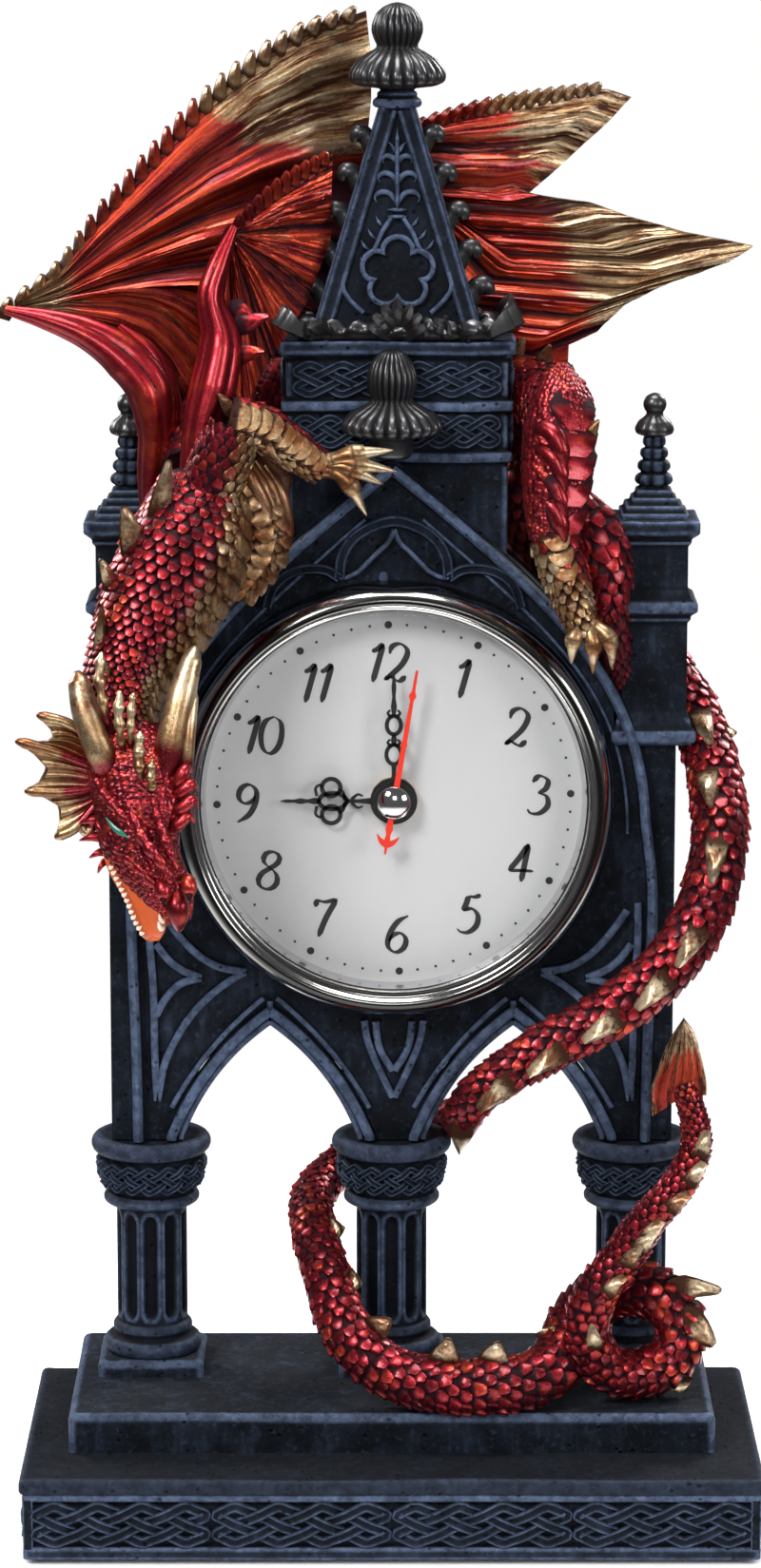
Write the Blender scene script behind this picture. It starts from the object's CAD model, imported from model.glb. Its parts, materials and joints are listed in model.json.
"""Dragon clock: the looks of a gothic clock tower with a dragon wound round it, for its CAD model.

Shapes are worked out in millimetres, in the frame of the CAD model, and put into Blender in metres.
"""
import collections
import functools
import json
import math

import bpy
import numpy as np
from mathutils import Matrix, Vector


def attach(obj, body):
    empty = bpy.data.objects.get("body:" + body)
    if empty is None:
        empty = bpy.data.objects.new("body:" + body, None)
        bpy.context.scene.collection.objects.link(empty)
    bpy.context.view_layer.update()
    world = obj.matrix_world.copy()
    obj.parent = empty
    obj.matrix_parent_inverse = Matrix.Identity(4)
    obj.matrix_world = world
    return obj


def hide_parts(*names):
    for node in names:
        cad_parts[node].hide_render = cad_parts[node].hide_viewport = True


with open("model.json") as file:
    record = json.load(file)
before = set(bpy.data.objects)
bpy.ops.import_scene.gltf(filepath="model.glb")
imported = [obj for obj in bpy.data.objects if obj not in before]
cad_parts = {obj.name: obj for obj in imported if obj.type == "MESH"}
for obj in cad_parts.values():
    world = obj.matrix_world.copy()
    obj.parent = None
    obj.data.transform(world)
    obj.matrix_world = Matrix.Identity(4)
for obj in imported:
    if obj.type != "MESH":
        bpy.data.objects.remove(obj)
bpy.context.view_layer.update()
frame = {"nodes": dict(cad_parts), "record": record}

bl_info = {
    "name": "Dragon clock",
    "version": (1, 0, 0),
    "blender": (4, 5, 0),
    "location": "3D View > Sidebar > Dragon clock",
    "description": "Carved tower, scaled dragon and quartz clock round the packed model",
    "category": "Object",
}

MM = 0.001
TAU = 2 * math.pi
CASE, INSERT = "clock_case", "clock_insert"
CLOCK_X, CLOCK_Z = 0.4, 142.0  # the clock's axis
WALL_Y = 15.3  # the middle of the walls, columns and turrets
WALL_FRONT = 9.5
GABLE_FOOT, GABLE_TOP = 134.7, 208.7
COLUMNS = (-47.9, 0.0, 47.9)
CORNER_REACH = 1.6  # only the outermost ledges have worn corners
BAYS = (-23.95, 23.95)
ARCH_HALF, ARCH_SPRING, ARCH_RISE = 17.2, 73.5, 22.7
TURRETS = (("left", -50.9), ("right", 50.9))
TURRET_HALF = 6.45
TOWER_X, TOWER_Y = 1.0, 18.2
SPIRE_FOOT, SPIRE_HIGH = 231.3, 44
SPIRE_HALF, SPIRE_TOP = (16.2, 7), 2.9  # half its width and depth at the foot, and half of both at the top


# ------------------------------------------------------------------ numbers

def unit(v):
    """Vectors of length one."""
    return v / np.maximum(np.linalg.norm(v, axis=-1, keepdims=True), 1e-9)


def ease(x):
    """Nought to one with level ends."""
    x = np.clip(x, 0, 1)
    return x * x * (3 - 2 * x)


def points(rows):
    """Rows of numbers as an array."""
    return np.array(rows, float)


def curve(rows, count, start=0.0, end=1.0):
    """A centripetal Catmull-Rom curve through rows, at count places evenly spaced along its length."""
    p = points(rows)
    p = np.vstack([2 * p[0] - p[1], p, 2 * p[-1] - p[-2]])
    gap = np.maximum(np.sqrt(np.linalg.norm(np.diff(p, axis=0), axis=1)), 1e-4)[:, None]
    a, b, c, d = p[:-3], p[1:-2], p[2:-1], p[3:]
    ga, gb, gc = gap[:-2], gap[1:-1], gap[2:]
    m1 = ((b - a) / ga - (c - a) / (ga + gb) + (c - b) / gb) * gb
    m2 = ((c - b) / gb - (d - b) / (gb + gc) + (d - c) / gc) * gb
    t = np.linspace(0, 1, 24, endpoint=False)[None, :, None]
    h = [2 * t**3 - 3 * t**2 + 1, t**3 - 2 * t**2 + t, 3 * t**2 - 2 * t**3, t**3 - t**2]
    dense = h[0] * b[:, None] + h[1] * m1[:, None] + h[2] * c[:, None] + h[3] * m2[:, None]
    dense = np.vstack([dense.reshape(-1, p.shape[1]), p[-2:-1]])
    return along(dense, np.linspace(start, end, count))


def segments(path):
    """The lengths of a path's segments."""
    return np.linalg.norm(np.diff(path, axis=0), axis=1)


def ways(path):
    """The direction of a path at each of its points."""
    return unit(np.gradient(path, axis=0))


def perpendicular(v, way):
    """What is left of v across the direction way, at length one."""
    v = points(v)
    return unit(v - (v * way).sum(-1, keepdims=True) * way)


def along(path, shares):
    """The points at the given shares of a path's length."""
    length = np.concatenate([[0], np.cumsum(segments(path))])
    return np.stack([np.interp(shares * length[-1], length, column) for column in path.T], -1)


def evenly(values, count, start=0.0, end=1.0):
    """Values that are evenly spaced over 0 to 1, read at count places from start to end."""
    return np.interp(np.linspace(start, end, count), np.linspace(0, 1, len(values)), values)


def frames(path, up=(0, 0, 1)):
    """Each station's tangent, side and up; up is carried along the path with the least turning."""
    tangent = ways(path)
    lift = np.empty_like(path)
    last = points(up)
    for i, t in enumerate(tangent):
        last = last - (last @ t) * t
        last = last / max(np.linalg.norm(last), 1e-9)
        lift[i] = last
    return tangent, np.cross(tangent, lift), lift


# ------------------------------------------------------------------ meshes

class Skin:
    """The sheets of one piece, in millimetres, with the paint of each point.

    wear is dry brushing on raised edges, deep is dark wash in hollows, gold turns red paint to gold, and
    tint varies the colour from one scale to the next. ray and run place a point across and along the rays
    of a wing.
    """

    PAINT = ("wear", "deep", "gold", "tint", "ray", "run")

    def __init__(self):
        self.co, self.corners, self.sizes, self.count = [], [], [], 0
        self.paint = {name: [] for name in self.PAINT}

    def add(self, co, faces, lids=(), **paint):
        """Adds points (n, 3) and faces of four corners, and lids of many corners."""
        for name in self.PAINT:
            value = np.asarray(paint.get(name, 0.0), float)
            self.paint[name].append(np.broadcast_to(value.reshape(-1) if value.ndim else value, (len(co),)))
        self.co.append(co)
        self.corners.append(faces.reshape(-1) + self.count)
        self.sizes.append(np.full(len(faces), faces.shape[1]))
        for lid in [lids] if isinstance(lids, np.ndarray) else [e[None] for e in lids]:
            self.corners.append(lid.reshape(-1) + self.count)
            self.sizes.append(np.full(*lid.shape))
        self.count += len(co)

    def sheet(self, grid, closed=False, **paint):
        """A grid (rows, columns, 3) of points as a sheet of quads whose last column joins its first.

        closed joins the last row to the first too; otherwise lids close both. The faces are turned outward.
        """
        rows, columns = grid.shape[:2]
        index = np.arange(rows * columns).reshape(rows, columns)
        net = np.concatenate([index, index[:, :1]], 1)
        net = np.concatenate([net, net[:1]]) if closed else net
        quads = np.stack([net[:-1, :-1], net[1:, :-1], net[1:, 1:], net[:-1, 1:]], -1).reshape(-1, 4)
        ends = [] if closed else [index[0], index[-1][::-1]]
        co = grid.reshape(-1, 3)
        p = co - co.mean(0)
        facing = np.cross(p[quads[:, 2]] - p[quads[:, 0]], p[quads[:, 3]] - p[quads[:, 1]])
        flow = (facing * p[quads].mean(1)).sum()
        flow += sum(np.cross(p[e], np.roll(p[e], -1, 0)).sum(0) @ p[e].mean(0) for e in ends)
        if flow < 0:
            quads, ends = quads[:, ::-1], [e[::-1] for e in ends]
        self.add(co, quads, ends, **{k: np.broadcast_to(v, (rows, columns)) for k, v in paint.items()})

    def finish(self, name, material, body=CASE, slot=None, replaces=(), crease=38):
        """Makes the mesh object, with smooth faces and sharp edges, and lets it ride on its CAD body."""
        mesh = bpy.data.meshes.new(name)
        co = np.concatenate(self.co).astype(np.float32) * np.float32(MM)
        corners, sizes = np.concatenate(self.corners), np.concatenate(self.sizes)
        mesh.vertices.add(len(co))
        mesh.vertices.foreach_set("co", co.ravel())
        mesh.loops.add(len(corners))
        mesh.loops.foreach_set("vertex_index", corners.astype(np.int32))
        mesh.polygons.add(len(sizes))
        mesh.polygons.foreach_set("loop_start", (np.cumsum(sizes) - sizes).astype(np.int32))
        mesh.polygons.foreach_set("use_smooth", np.ones(len(sizes), bool))
        mesh.update(calc_edges=True)
        mesh.set_sharp_from_angle(angle=math.radians(crease))
        for key in self.PAINT:
            values = np.concatenate(self.paint[key]).astype(np.float32)
            mesh.attributes.new(key, "FLOAT", "POINT").data.foreach_set("value", values)
        mesh.materials.append(material)
        piece = bpy.data.objects.new(name, mesh)
        bpy.context.scene.collection.objects.link(piece)
        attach(piece, body)
        if replaces:
            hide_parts(*replaces)
        return piece


LEAST_TURN = 0.12  # the sine of the least bend that is worn or dark


def edged(corners, radius=0.28, fade=0.8):
    """A profile of (out, height) with its corners rounded: rows of (out, height, wear, deep).

    Each corner becomes two points, worn where the profile turns outwards and dark where it turns inwards,
    with a bare point fade away on both sides where there is room.
    """
    p = points(corners)
    rows = [[*p[0], 0, 0]]
    for a, b, c in zip(p[:-2], p[1:-1], p[2:]):
        before, after = np.linalg.norm(b - a), np.linalg.norm(c - b)
        d1, d2 = (b - a) / max(before, 1e-9), (c - b) / max(after, 1e-9)
        turn = d1[0] * d2[1] - d1[1] * d2[0]
        wear = min(1.0, turn * 1.2) if turn > LEAST_TURN else 0
        deep = min(1.0, -turn) if turn < -LEAST_TURN else 0
        r1, r2 = min(radius, before * 0.3), min(radius, after * 0.3)
        if before >= 4 * fade:
            rows.append([*(b - d1 * fade * 1.6), 0, 0])
        if before > 2.4 * fade:
            rows.append([*(b - d1 * fade), wear * 0.25, 0])
        rows += [[*(b - d1 * r1), wear, deep], [*(b + d2 * r2), wear, deep]]
        if after > 2.4 * fade:
            rows.append([*(b + d2 * fade), wear * 0.25, 0])
        if after > 4 * fade:
            rows.append([*(b + d2 * fade * 1.6), 0, 0])
    rows.append([*p[-1], 0, 0])
    return points(rows)


def squared(skin, box, profile, corner=0.5, uneven=0.0, bare=0.9):
    """A profile of (outset, height, wear, deep) carried round the rectangle box (x0, x1, y0, y1).

    A ring's corner is an arc of the radius corner, and is worn; a ring's side has bare points beside its
    corners.
    """
    x0, x1, y0, y1 = box
    bend = np.radians(np.linspace(-90, 0, 4))
    side = [(-1, corner + bare), (-0.6, 0), (-0.2, 0), (0.2, 0), (0.6, 0), (1, -corner - bare)]
    rows = [(s, d, -1, 0, 0) for s, d in side]
    rows += [(1, corner * (math.cos(a) - 1), -1, corner * (1 + math.sin(a)), 1) for a in bend]
    ring = points(rows)
    quarter = lambda r: np.stack([-r[:, 2], -r[:, 3], r[:, 0], r[:, 1], r[:, 4]], 1)
    rings = [ring]
    for _ in range(3):
        rings.append(quarter(rings[-1]))
    ring = np.concatenate(rings)
    out, height, wear, deep = profile.T[..., None]
    x = (x0 + x1) / 2 + ring[:, 0] * ((x1 - x0) / 2 + out) + ring[:, 1]
    y = (y0 + y1) / 2 + ring[:, 2] * ((y1 - y0) / 2 + out) + ring[:, 3]
    grid = np.stack([x, y, np.broadcast_to(height, x.shape)], -1)
    if uneven:
        grid[..., 2] += uneven * np.sin(x * 0.9 + 1) * np.sin(x * 0.31) * np.sin(y * 0.5 + 2) * (wear > 0)
    worn = ring[:, 4] * (deep < 0.5) * (out > out.max() - CORNER_REACH)
    skin.sheet(grid, wear=np.maximum(wear, worn), deep=deep)


def turned(skin, x, y, profile, sides=56, ribs=None, limit=None, **paint):
    """A profile of (radius, height, wear, deep) turned about a standing axis.

    ribs(angle, row) gives a factor for the radius, the dark of the grooves and the wear of their edges;
    limit holds the shape in front of a plane.
    """
    angle = np.linspace(0, TAU, sides, endpoint=False)
    radius = np.broadcast_to(profile[:, :1], (len(profile), sides)).copy()
    wear = np.broadcast_to(profile[:, 2:3], radius.shape).copy()
    deep = np.broadcast_to(profile[:, 3:4], radius.shape).copy()
    if ribs:
        factor, groove, edge = ribs(angle[None], profile)
        radius, deep, wear = radius * factor, np.maximum(deep, groove), np.maximum(wear * (1 - groove), edge)
    grid = np.stack([x + radius * np.cos(angle), y + radius * np.sin(angle),
                     np.broadcast_to(profile[:, 1:2], radius.shape)], -1)
    if limit is not None:
        grid[..., 1] = np.minimum(grid[..., 1], limit)
    skin.sheet(grid, wear=wear, deep=deep, **paint)


def on_clock(skin, profile, sides=144, ring=True, **paint):
    """A profile of (radius, y) turned about the clock's axis, along Y: a ring, or a disc with lids."""
    p = points(profile)
    angle = np.linspace(0, TAU, sides, endpoint=False)
    grid = np.stack([CLOCK_X + p[:, :1] * np.sin(angle), np.broadcast_to(p[:, 1:2], (len(p), sides)),
                     CLOCK_Z + p[:, :1] * np.cos(angle)], -1)
    skin.sheet(grid, closed=ring, **paint)


def tube(skin, path, radii, sides=16, wide=1.0, up=(0, 0, 1), shape=None, **paint):
    """A round skin about a path: at each station a ring of that radius, wide times as broad as high.

    shape(angle, row) adds to the radius.
    """
    _, side, lift = frames(path, up)
    angle = np.linspace(0, TAU, sides, endpoint=False)
    radius = np.broadcast_to(np.asarray(radii, float).reshape(-1, 1), (len(path), sides))
    if shape is not None:
        radius = radius + shape(angle[None], np.arange(len(path))[:, None])
    grid = (path[:, None] + side[:, None] * (radius * np.cos(angle) * wide)[..., None]
            + lift[:, None] * (radius * np.sin(angle))[..., None])
    skin.sheet(grid, **paint)


ROLL = points([[-1, -0.7, 0, 1], [-0.96, 0.35, 0.1, 0.7], [-0.72, 0.8, 0.9, 0], [-0.25, 0.98, 1, 0],
               [0.25, 0.98, 1, 0], [0.72, 0.8, 0.9, 0], [0.96, 0.35, 0.1, 0.7], [1, -0.7, 0, 1]])
BAND = points([[-1, -0.9, 0, 1], [-0.96, 0.7, 0.5, 0.3], [-0.66, 1, 1, 0], [-0.3, 0.62, 0.2, 0.3],
               [0.3, 0.62, 0.2, 0.3], [0.66, 1, 1, 0], [0.96, 0.7, 0.5, 0.3], [1, -0.9, 0, 1]])
FLAT = points([[-1, -1, 0, 0], [-1, 1, 0, 0], [1, 1, 0, 0], [1, -1, 0, 0]])


def strand(skin, path, normal, width, height, profile=ROLL, closed=False, taper=0.0, **paint):
    """A raised strip laid on a surface: the profile (across, up, wear, deep) is carried along the path.

    width and height may vary along it; taper narrows both ends over that share of the path.
    """
    path = points(path)
    count = len(path)
    normal = np.broadcast_to(points(normal), path.shape)
    step = np.roll(path, -1, 0) - np.roll(path, 1, 0)
    if not closed:
        step[0], step[-1] = path[1] - path[0], path[-1] - path[-2]
    side = unit(np.cross(normal, unit(step)))
    normal = unit(np.cross(unit(step), side))
    share = np.linspace(0, 1, count)
    shrink = np.ones(count)
    if taper:
        shrink = 0.15 + 0.85 * ease(np.minimum(share, 1 - share) / taper)
    w = np.broadcast_to(width, (count,)) * shrink / 2
    h = np.broadcast_to(height, (count,)) * shrink
    grid = (path[:, None] + side[:, None] * (w[:, None] * profile[:, 0])[..., None]
            + normal[:, None] * (h[:, None] * profile[:, 1])[..., None])
    skin.sheet(grid, closed=closed, wear=profile[:, 2], deep=profile[:, 3], **paint)


def leaves(skin, root, forward, normal, length, width, height, pointed=0.0, sink=0.5, keel=0.0, gold=0.0,
           tint=0.0, wear=0.0, bend=0.0, shade=0.0):
    """Many leaf-shaped bumps at once, such as scales, thorns and plates.

    A leaf rises from its root to its tip and is domed across, or keeled, and its rim is sunk into what
    carries it. pointed runs from 0, a round tip, to 1, a sharp one; bend lifts the tip further.
    """
    n = len(root)
    forward, normal = np.broadcast_to(forward, (n, 3)), np.broadcast_to(normal, (n, 3))
    side = unit(np.cross(normal, forward))
    u = np.array([0, 0.28, 0.55, 0.78, 0.94, 1.0])[None, :, None]
    v = np.array([-1, -0.8, 0, 0.8, 1])[None, None, :]
    round_tip = np.sqrt(np.clip(1 - (np.clip(u - 0.3, 0, 1) / 0.74) ** 2, 0, 1)) * (0.7 + 0.3 * ease(u / 0.3))
    sharp_tip = np.clip(1.04 - u, 0, 1) ** 0.8 * (0.75 + 0.5 * ease(u / 0.35))
    outline = round_tip * (1 - pointed) + sharp_tip * pointed
    rise = 0.25 + 0.75 * ease(u / 0.9)
    dome = 1 - 0.45 * v**2 - keel * np.abs(v) * 0.4
    rim = (np.abs(v) > 0.99) | (u > 0.99) | (u < 0.01)
    shape = lambda value: np.broadcast_to(np.asarray(value, float), (n,))[:, None, None]
    up = np.where(rim, -shape(sink) * shape(height), shape(height) * (rise * dome + shape(bend) * u**2))
    grid = (root[:, None, None] + forward[:, None, None] * (shape(length) * u * np.ones_like(v))[..., None]
            + side[:, None, None] * (shape(width) * outline * v)[..., None] + normal[:, None, None]
            * up[..., None])
    index = np.arange(n * 30).reshape(n, 6, 5)
    quads = np.stack([index[:, :-1, :-1], index[:, 1:, :-1], index[:, 1:, 1:], index[:, :-1, 1:]],
                     -1).reshape(-1, 4)
    border = np.concatenate([index[:, 0, :], index[:, 1:, 4], index[:, 5, 3::-1], index[:, 4:0:-1, 0]], 1)
    deep = np.where(rim, 1.0, np.where(u < 0.3, 0.85, 0.25 * (np.abs(v) > 0.7))) * np.ones((n, 1, 1))
    deep = np.maximum(deep, shape(shade))
    crown = np.where(rim, 0.0, 0.25 + 0.75 * (u > 0.6)) * np.ones((n, 1, 1))
    full = np.ones((1, 6, 5))
    skin.add(grid.reshape(-1, 3), quads, border, deep=deep, wear=np.maximum(crown * shape(wear), 0) * full,
             gold=shape(gold) * full, tint=shape(tint) * full)


def at_angle(path, tangent, side, lift, radius, share, angle):
    """Roots, ways along and normals at the given shares and angles of a round skin about a path."""
    place = lambda rows: np.stack([np.interp(share, np.linspace(0, 1, len(path)), c) for c in rows.T], -1)
    centre, t, s, u = place(path), unit(place(tangent)), unit(place(side)), unit(place(lift))
    r = np.interp(share, np.linspace(0, 1, len(path)), radius)
    out = s * np.cos(angle)[:, None] + u * np.sin(angle)[:, None]
    return centre + out * r[:, None], t, unit(out), r


SCALE_PITCH = 0.72  # rows of scales are this share of a scale's width apart
SCALE_STRAY = 0.4  # how far scales stray from their rows


def scaled(skin, path, radius, around, up=(0, 0, 1), seed=1, lift_by=0.2, gold=0.0, stretch=1.9, pointed=0.25,
           shade=0.0):
    """A round skin about a path with rows of overlapping scales, around of them in each row.

    Every second row is turned by half a scale. gold and shade are the shares of gold and of dark wash, as
    numbers or as functions of (root, normal).
    """
    rng = np.random.default_rng(seed)
    tangent, side, lift = frames(path, up)
    tube(skin, path, radius * 0.97, sides=24, up=up, deep=1.0)
    step = TAU / around * SCALE_PITCH
    length = segments(path)
    rows = np.concatenate([[0], np.cumsum(length / ((radius[:-1] + radius[1:]) / 2))]) / step
    count = max(int(rows[-1]), 2)
    share = np.interp(np.arange(count) + 0.2, rows, np.linspace(0, 1, len(path)))
    column, row = np.meshgrid(np.arange(around), np.arange(count))
    angle = ((column + 0.5 * (row % 2)) * TAU / around).ravel()
    share = share[row].ravel()
    angle = angle + rng.normal(size=len(angle)) * SCALE_STRAY / around
    root, t, normal, r = at_angle(path, tangent, side, lift, radius, share, angle)
    t = unit(t + np.cross(normal, t) * rng.normal(size=(len(t), 1)) * SCALE_STRAY * 0.35)
    size = r * step
    golden, dark = (value(root, normal) if callable(value) else value for value in (gold, shade))
    tint = rng.random(len(root))
    scale = 0.88 + 0.26 * rng.random(len(root))
    leaves(skin, root - t * size[:, None] * 0.5, t, normal, size * stretch * scale,
           r * TAU / around * 0.53 * scale, size * lift_by * (0.7 + 0.6 * tint), pointed=pointed,
           gold=golden, tint=tint, wear=1.0, shade=np.clip(dark, 0, 1))


def pebbles(u, v, around, seed=1):
    """Rounded bumps on a surface: u goes from 0 to 1 round it, past around bumps, and v counts them along
    it.

    Each point takes the nearest of the centres scattered one to a square: its height falls with the
    distance, and the cleft is where two centres are equally near. Gives height, cleft and a tint for each
    bump.
    """
    table = np.random.default_rng(seed).random((3, 64, 64))
    u, v = np.broadcast_arrays(u * around, v)
    near, next_near, tint = np.full(u.shape, 9.0), np.full(u.shape, 9.0), np.zeros(u.shape)
    for i in (-1, 0, 1):
        for j in (-1, 0, 1):
            a, b = np.floor(u).astype(int) + i, np.floor(v).astype(int) + j
            cell = (a % around % 64, b % 64)
            far = np.hypot(a + 0.15 + 0.7 * table[0][cell] - u, b + 0.15 + 0.7 * table[1][cell] - v)
            closer = far < near
            next_near = np.where(closer, near, np.minimum(next_near, far))
            tint = np.where(closer, table[2][cell], tint)
            near = np.where(closer, far, near)
    return 1 - near**2, 1 - ease((next_near - near) / 0.22), tint


def pebbled(skin, path, radii, around, height, up=(0, 0, 1), wide=1.0, fine=(150, 200), seed=1, lump=None,
            tint=0.0):
    """A round skin with pebbles as high as height; lump(angle, share) adds larger shapes."""
    rows, sides = fine
    path, radius = curve(path, rows), evenly(radii, rows)[:, None]
    angle, share = np.linspace(0, TAU, sides, endpoint=False)[None], np.linspace(0, 1, rows)[:, None]
    length = np.concatenate([[0], np.cumsum(segments(path))])[:, None]
    pitch = TAU * radius.mean() / around
    rise, cleft, own_tint = pebbles(angle / TAU, length / pitch, around, seed)
    high = height * (rise - 0.6) * np.clip(radius / 2, 0, 1)
    if lump is not None:
        high = high + lump(angle, share)
    _, side, lift = frames(path, up)
    grid = (path[:, None] + side[:, None] * ((radius + high) * np.cos(angle) * wide)[..., None]
            + lift[:, None] * ((radius + high) * np.sin(angle))[..., None])
    skin.sheet(grid, deep=cleft * 0.85, wear=np.clip(rise, 0, 1)**2, tint=np.clip(own_tint + tint, 0, 1))


def along_curve(kind, skin, rows, radii, count, *how, **more):
    """A tube or scaled skin, as kind says, about the curve through rows, with radii spread along it."""
    kind(skin, curve(rows, count), evenly(radii, count), *how, **more)


# ------------------------------------------------------------------ materials

class Value:
    """A node's output in an expression; each operator puts in a Math node."""

    def __init__(self, shader, socket):
        self.shader, self.socket = shader, socket

    def __add__(self, other):
        return self.shader.maths("ADD", self, other)

    __radd__ = __add__

    def __sub__(self, other):
        return self.shader.maths("SUBTRACT", self, other)

    def __rsub__(self, other):
        return self.shader.maths("SUBTRACT", other, self)

    def __mul__(self, other):
        return self.shader.maths("MULTIPLY", self, other)

    __rmul__ = __mul__

    def __pow__(self, other):
        return self.shader.maths("POWER", self, other)

    def between(self, low, high):
        """Nought at low and one at high, held outside them."""
        return self.shader.node("ShaderNodeMapRange", {"interpolation_type": "SMOOTHSTEP"},
                                {0: self, 1: low, 2: high})


class Shader:
    """A Principled material that is put together from values, colours and constants."""

    def __init__(self, name, **constants):
        self.material = bpy.data.materials.new(name)
        self.material.use_nodes = True
        self.tree = self.material.node_tree
        self.tree.nodes.clear()
        self.surface = self.tree.nodes.new("ShaderNodeBsdfPrincipled")
        self.output = self.tree.nodes.new("ShaderNodeOutputMaterial")
        self.tree.links.new(self.surface.outputs[0], self.output.inputs[0])
        for key, value in constants.items():
            self.surface.inputs[key.replace("_", " ")].default_value = value

    def node(self, kind, settings=None, inputs=None, output=0):
        """A node of that type with its settings made first and then its sockets set or linked."""
        made = self.tree.nodes.new(kind)
        for key, value in (settings or {}).items():
            setattr(made, key, value)
        for key, value in (inputs or {}).items():
            self.put(made.inputs[key], value)
        return Value(self, made.outputs[output])

    def put(self, socket, value):
        """Links a value to a socket, or sets the socket."""
        if isinstance(value, Value):
            self.tree.links.new(value.socket, socket)
        elif isinstance(value, tuple) and len(value) == 3 and socket.type == "RGBA":
            socket.default_value = (*value, 1)
        else:
            socket.default_value = value

    def maths(self, operation, a, b):
        """A Math node."""
        return self.node("ShaderNodeMath", {"operation": operation}, {0: a, 1: b})

    def mix(self, share, a, b):
        """Colour a changed towards colour b by share."""
        return self.node("ShaderNodeMix", {"data_type": "RGBA", "clamp_factor": True},
                         {0: share, 6: a, 7: b}, 2)

    def paint(self, name):
        """A point attribute of the piece."""
        return self.node("ShaderNodeAttribute", {"attribute_name": name}, output=2)

    def place(self, stretch=(1, 1, 1)):
        """Object coordinates, in metres, stretched."""
        at = self.node("ShaderNodeTexCoord", output=3)
        return self.node("ShaderNodeMapping", {}, {0: at, 3: stretch})

    def noise(self, size, detail=3.0, rough=0.55, stretch=(1, 1, 1)):
        """Noise whose features are size millimetres across."""
        return self.node("ShaderNodeTexNoise", {}, {"Vector": self.place(stretch), "Scale": 1 / (size * MM),
                                                    "Detail": detail, "Roughness": rough})

    def cells(self, size):
        """Distance to the nearest of scattered points that lie size millimetres apart."""
        return self.node("ShaderNodeTexVoronoi", {}, {"Vector": self.place(), "Scale": 1 / (size * MM)})

    def bump(self, height, depth, strength=1.0):
        """A bump of that depth, in millimetres, into the surface's normal."""
        normal = self.node("ShaderNodeBump", {}, {"Strength": strength, "Distance": depth * MM,
                                                  "Height": height})
        self.set(Normal=normal)

    def set(self, **inputs):
        """Values or colours for the surface's sockets."""
        for key, value in inputs.items():
            self.put(self.surface.inputs[key.replace("_", " ")], value)
        return self.material


SOOT = (0.002, 0.0025, 0.004)


def painted_stone(name):
    """Near-black cast stone, dry brushed in slate blue, pitted, chipped and dusty on top."""
    s, look = Shader(name, Specular_IOR_Level=0.06), bpy.context.scene.dragon_clock_look
    wear, deep = s.paint("wear"), s.paint("deep")
    patch, grain = s.noise(9, 4).between(0.35, 0.7), s.noise(1.1, 5, 0.65)
    streak = s.noise(2.2, 4, 0.6, (1, 1, 0.22)).between(0.45, 0.72)
    flecks, chips = grain.between(0.52, 0.68), 0.45 + 0.55 * s.noise(2.4, 4, 0.7).between(0.36, 0.6)
    ground = s.mix(patch * 0.8, tuple(look.stone_dark), tuple(look.stone_mid))
    upward = s.node("ShaderNodeSeparateXYZ", {}, {0: s.node("ShaderNodeNewGeometry", output=1)},
                    2).between(0.6, 0.95)
    ground = s.mix(upward * (0.55 + 0.45 * streak), ground, tuple(look.stone_top))
    patchy = s.noise(3.2, 4, 0.7).between(0.36, 0.6)
    brushed = (wear ** 1.6 * 0.88 * chips * (0.6 + 0.25 * flecks + 0.3 * patchy) + flecks * 0.14 * patchy
               + streak * patch * 0.14)
    colour = s.mix(brushed * (1 - deep), ground, tuple(look.stone_edge))
    colour = s.mix(deep * 0.85, colour, SOOT)
    pits = 1 - s.cells(2.2).between(0.05, 0.24)
    some = s.noise(6, 1).between(0.46, 0.56)
    s.set(Base_Color=s.mix(pits * some * 0.75, colour, SOOT),
          Roughness=0.58 - 0.2 * wear + 0.14 * grain)
    s.bump(grain * 0.6 - pits * some * 1.3 + s.noise(3.4, 2) * 0.7, 0.34, 0.9)
    return s.material


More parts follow.
